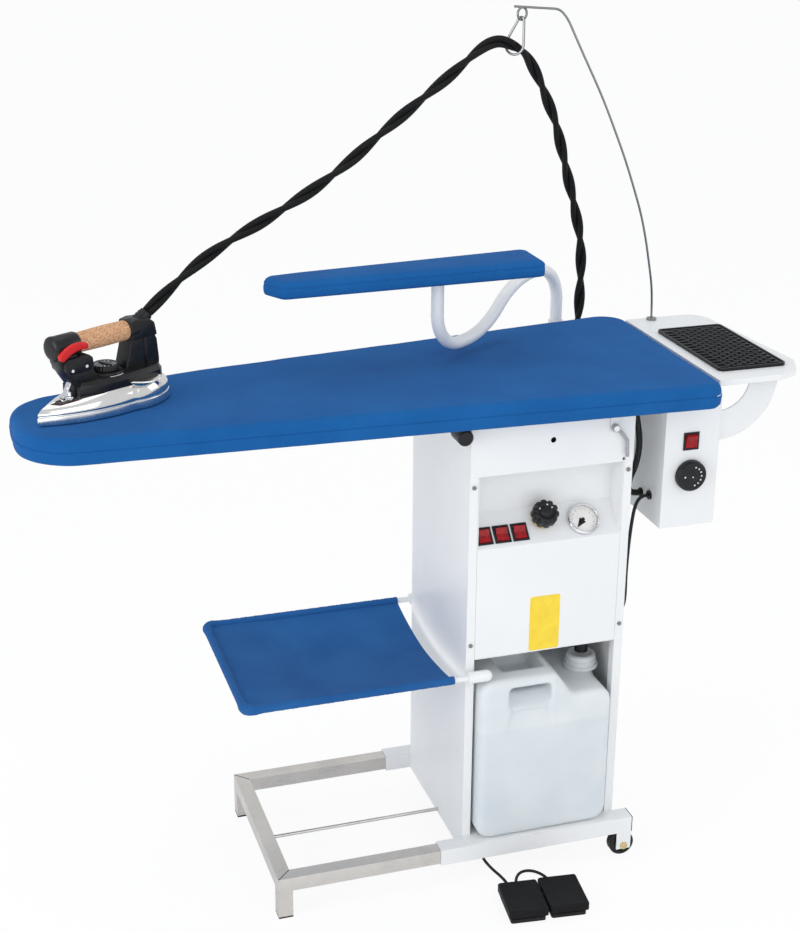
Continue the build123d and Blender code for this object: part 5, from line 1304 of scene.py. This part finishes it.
iron_axis = (on_iron(1, 0, 0) - on_iron(0, 0, 0)).normalized()
grip_middle = on_iron(0, 0, 113)
dial_along = 130
dial_foot = on_iron(dial_along, 0, 60.4)
deck = loft("iron_deck", [deck_ring(*pair) for pair in ((1, 34), (0, 36), (0, 48.5), (3.8, 55.6), (4.6, 56.4))])
complete(deck, "iron_deck", edge=0.0012, segments=3)
barrel = turned("iron_barrel", grip_middle, iron_axis,
                [(6, 29.6), (12, 30), (16, 31.2), (18.3, 33.4), (19, 36), (18.8, 39), (17.9, 40.4), (17.9, 42),
                 (18.4, 43.4), (18.4, 74), (17.6, 76.6), (15, 77)], sides=72, smooth=40)
rear_barrel = turned("iron_rear_barrel", grip_middle, iron_axis,
                     [(14, 171), (16.4, 171.2), (17, 172.6), (17, 186), (14, 190)], sides=72, smooth=40)
front_post = side_plate("front_post", [(76, 33), (62, 49), (48, 70), (38, 88), (35, 100), (38, 112), (62, 116),
                                       (72, 108), (72, 98), (84, 60), (96, 44), (96, 33)], -13, 13, 0.003)
front_block = side_plate("front_block", [(45, 77), (43, 89), (48, 97), (88, 97), (95, 91), (96, 80), (91, 72),
                                         (52, 71)], -19, 19, 0.0024)
front_neck = side_plate("front_neck", [(66, 52), (52, 75), (92, 76), (102, 64), (108, 52)], -15.5, 15.5, 0.002)
rear_post = side_plate("rear_post", [(155, 46), (163, 72), (171, 99), (171, 110), (206, 112), (216, 104), (222, 92),
                                     (225, 60), (224, 42), (218, 36), (160, 36)], -15, 15, 0.003)
rear_head = side_plate("rear_head", [(171.5, 98), (171.5, 127.5), (186, 130), (207, 128), (218, 119), (222, 98)],
                       -16.2, 16.2, 0.0028)
groove_rib = side_plate("rear_rib", [(197, 52), (194, 99), (198.5, 99), (202.5, 52)], -17.2, 17.2, 0.001)
boot_way = (boot_end - boot_start).normalized()
boot = turned("hose_boot", boot_start, boot_way,
              [(9, -6), (12.2, -5), (12.6, 0), (12.4, 3), (11.6, 3.6), (11.6, 5.4), (12.1, 6), (12, 8.4), (11.3, 9),
               (11.3, 11), (11.7, 11.6), (11.6, 14), (10.9, 14.6), (10.8, 18.4), (10.2, 19)], sides=48, smooth=40)
dial_collar = turned("dial_collar", on_iron(dial_along, 0, 55.6), (0, 0, 1),
                     [(27.5, 0), (27.5, 2.4), (26.4, 4.4), (24.6, 5.2), (22.6, 5.2), (22, 4.4), (18, 4.2)],
                     sides=96, smooth=40)
iron_mould = moulded_plastic("iron_mould", (0.009, 0.009, 0.010), 0.30, 0.0011)
body = joined(deck, barrel, rear_barrel, front_post, front_block, front_neck, rear_post, rear_head, groove_rib, boot,
              dial_collar)
body.name = "iron_moulding"
bpy.ops.object.shade_smooth_by_angle(angle=math.radians(28))
add_piece(body, iron_mould, "iron", "black_plastic", "iron_body")


def granular_cork():
    """Pressed cork: pale grains of a few millimetres with dark gaps, and fine pores."""
    made = finish("granular_cork", (0.62, 0.42, 0.25), 0.72)
    cells = add_node(made, "TexVoronoi", feature="F1")
    cells.inputs["Scale"].default_value = 1 / 0.0019
    wire(made, coordinates(made), cells.inputs["Vector"])
    spread = add_node(made, "SeparateXYZ")
    wire(made, cells.outputs["Color"], spread.inputs[0])
    gaps = span(made, cells.outputs["Distance"], 1, 0, 0.25, 0.75)
    pores = noise(made, 0.0009, 3)
    shade = combine(made, "ADD", combine(made, "MULTIPLY", spread.outputs["X"], 0.5),
                    combine(made, "MULTIPLY", gaps, 0.35))
    shade = combine(made, "ADD", shade, combine(made, "MULTIPLY", span(made, pores, -0.6, 0.6), 0.4))
    tint(made, shade, (0.40, 0.17, 0.07), (0.92, 0.58, 0.33))
    relief(made, combine(made, "ADD", gaps, pores), 0.0005)
    return made


cork_grip = turned("cork_grip", grip_middle, iron_axis,
                   [(12, 76.2), (14.6, 76.4), (15, 77.4), (15.2, 85), (15.7, 105), (16, 124), (15.9, 145),
                    (15.5, 165), (15.2, 170.4), (14.6, 171.6), (12, 171.8)], sides=64, smooth=50)
add_piece(cork_grip, granular_cork(), "iron", "cork", "iron_handle")
red_mould = gloss("red_mould", (0.62, 0.012, 0.014), 0.30, 0.85)
lever_line = arc_through((29, 107), (52, 120), (80, 119), 14) + [Vector((80, 119)), Vector((84, 114))]
lever_line += arc_through((82, 108), (56, 107), (38, 97), 14) + [Vector((38, 97)), Vector((31, 99))]
lever = side_plate("steam_lever", [(spot.x, spot.y) for spot in lever_line], -17.8, -26.5, 0.0034)
apply_modifier(lever, "SMOOTH", factor=0.35, iterations=2)
add_piece(lever, red_mould, "steam_lever", "red_lever", "iron_button")
heat_dial = turned("heat_dial_disc", dial_foot, (0, 0, 1),
                   [(19.4, 0, 0.2), (21, 0.8, 1), (21, 6.4, 1), (20.2, 8.4, 0.5), (18.8, 9.3, 0), (17.8, 9.2, 0),
                    (17.2, 8.6, 0), (4, 8.5, 0)], sides=144, lobes=24, depth=0.9, smooth=40)
add_piece(heat_dial, iron_mould, "heat_dial", "black_plastic", "iron_dial")
heat_scale = radial_marks("heat_scale", dial_foot, Vector((0, 0, 1)), -iron_axis, 13, -150, 150,
                          9.2, 15.8, 1.6, 8.5)
add_piece(heat_scale, white_print, "heat_dial", "black_plastic")
pointer = side_plate("heat_pointer", [(dial_along - 3, 68.8), (dial_along + 3, 68.8), (dial_along + 3, 70.6),
                                       (dial_along - 3, 70.6)], -14, 14, 0.0006)
add_piece(pointer, iron_mould, "heat_dial", "black_plastic")
marks = []
for along, rise in ((56, 78), (82, 80)):
    marks.append(turned("block_lamp", on_iron(along, -18.9, rise), on_iron(0, -1, 0) - on_iron(0, 0, 0),
                        [(2.5, -0.4), (2.5, 0.5), (2, 1.1), (1, 1.4)], sides=24, smooth=60))
crescent = [on_iron(dial_along + reach * math.sin(turn), -reach * math.cos(turn) + 0.4, 56.3)
            for reach, way in ((31, 1), (28.8, -1))
            for turn in (math.radians(way * (4.8 * step - 24)) for step in range(11))]
arc_mark = loft("deck_mark", [crescent, [spot + Vector((0, 0, 0.0004)) for spot in crescent]])
marks.append(complete(arc_mark, "deck_mark", smooth=30))
lamps = joined(*marks)
lamps.name = "iron_print"
add_piece(lamps, white_print, "iron", "black_plastic")
bolt = turned("front_bolt", on_iron(55, -6, 36), (0, 0, 1),
              [(9, -2), (9, 1.6), (6.6, 2), (6.4, 7.6), (5.6, 8.4), (3.4, 8.6), (3.4, 15), (2.2, 15.6)],
             sides=6, edge=0.0005, segments=2, smooth=30)
clip = side_plate("front_clip", [(42, 35.5), (50, 37), (62, 60), (66, 64), (64, 66), (59, 62), (47, 40), (41, 38)],
                  -9.5, 0.5, 0.0008)
bracket = joined(bolt, clip)
bracket.name = "front_bracket"
add_piece(bracket, chrome, "iron", "polished_metal")
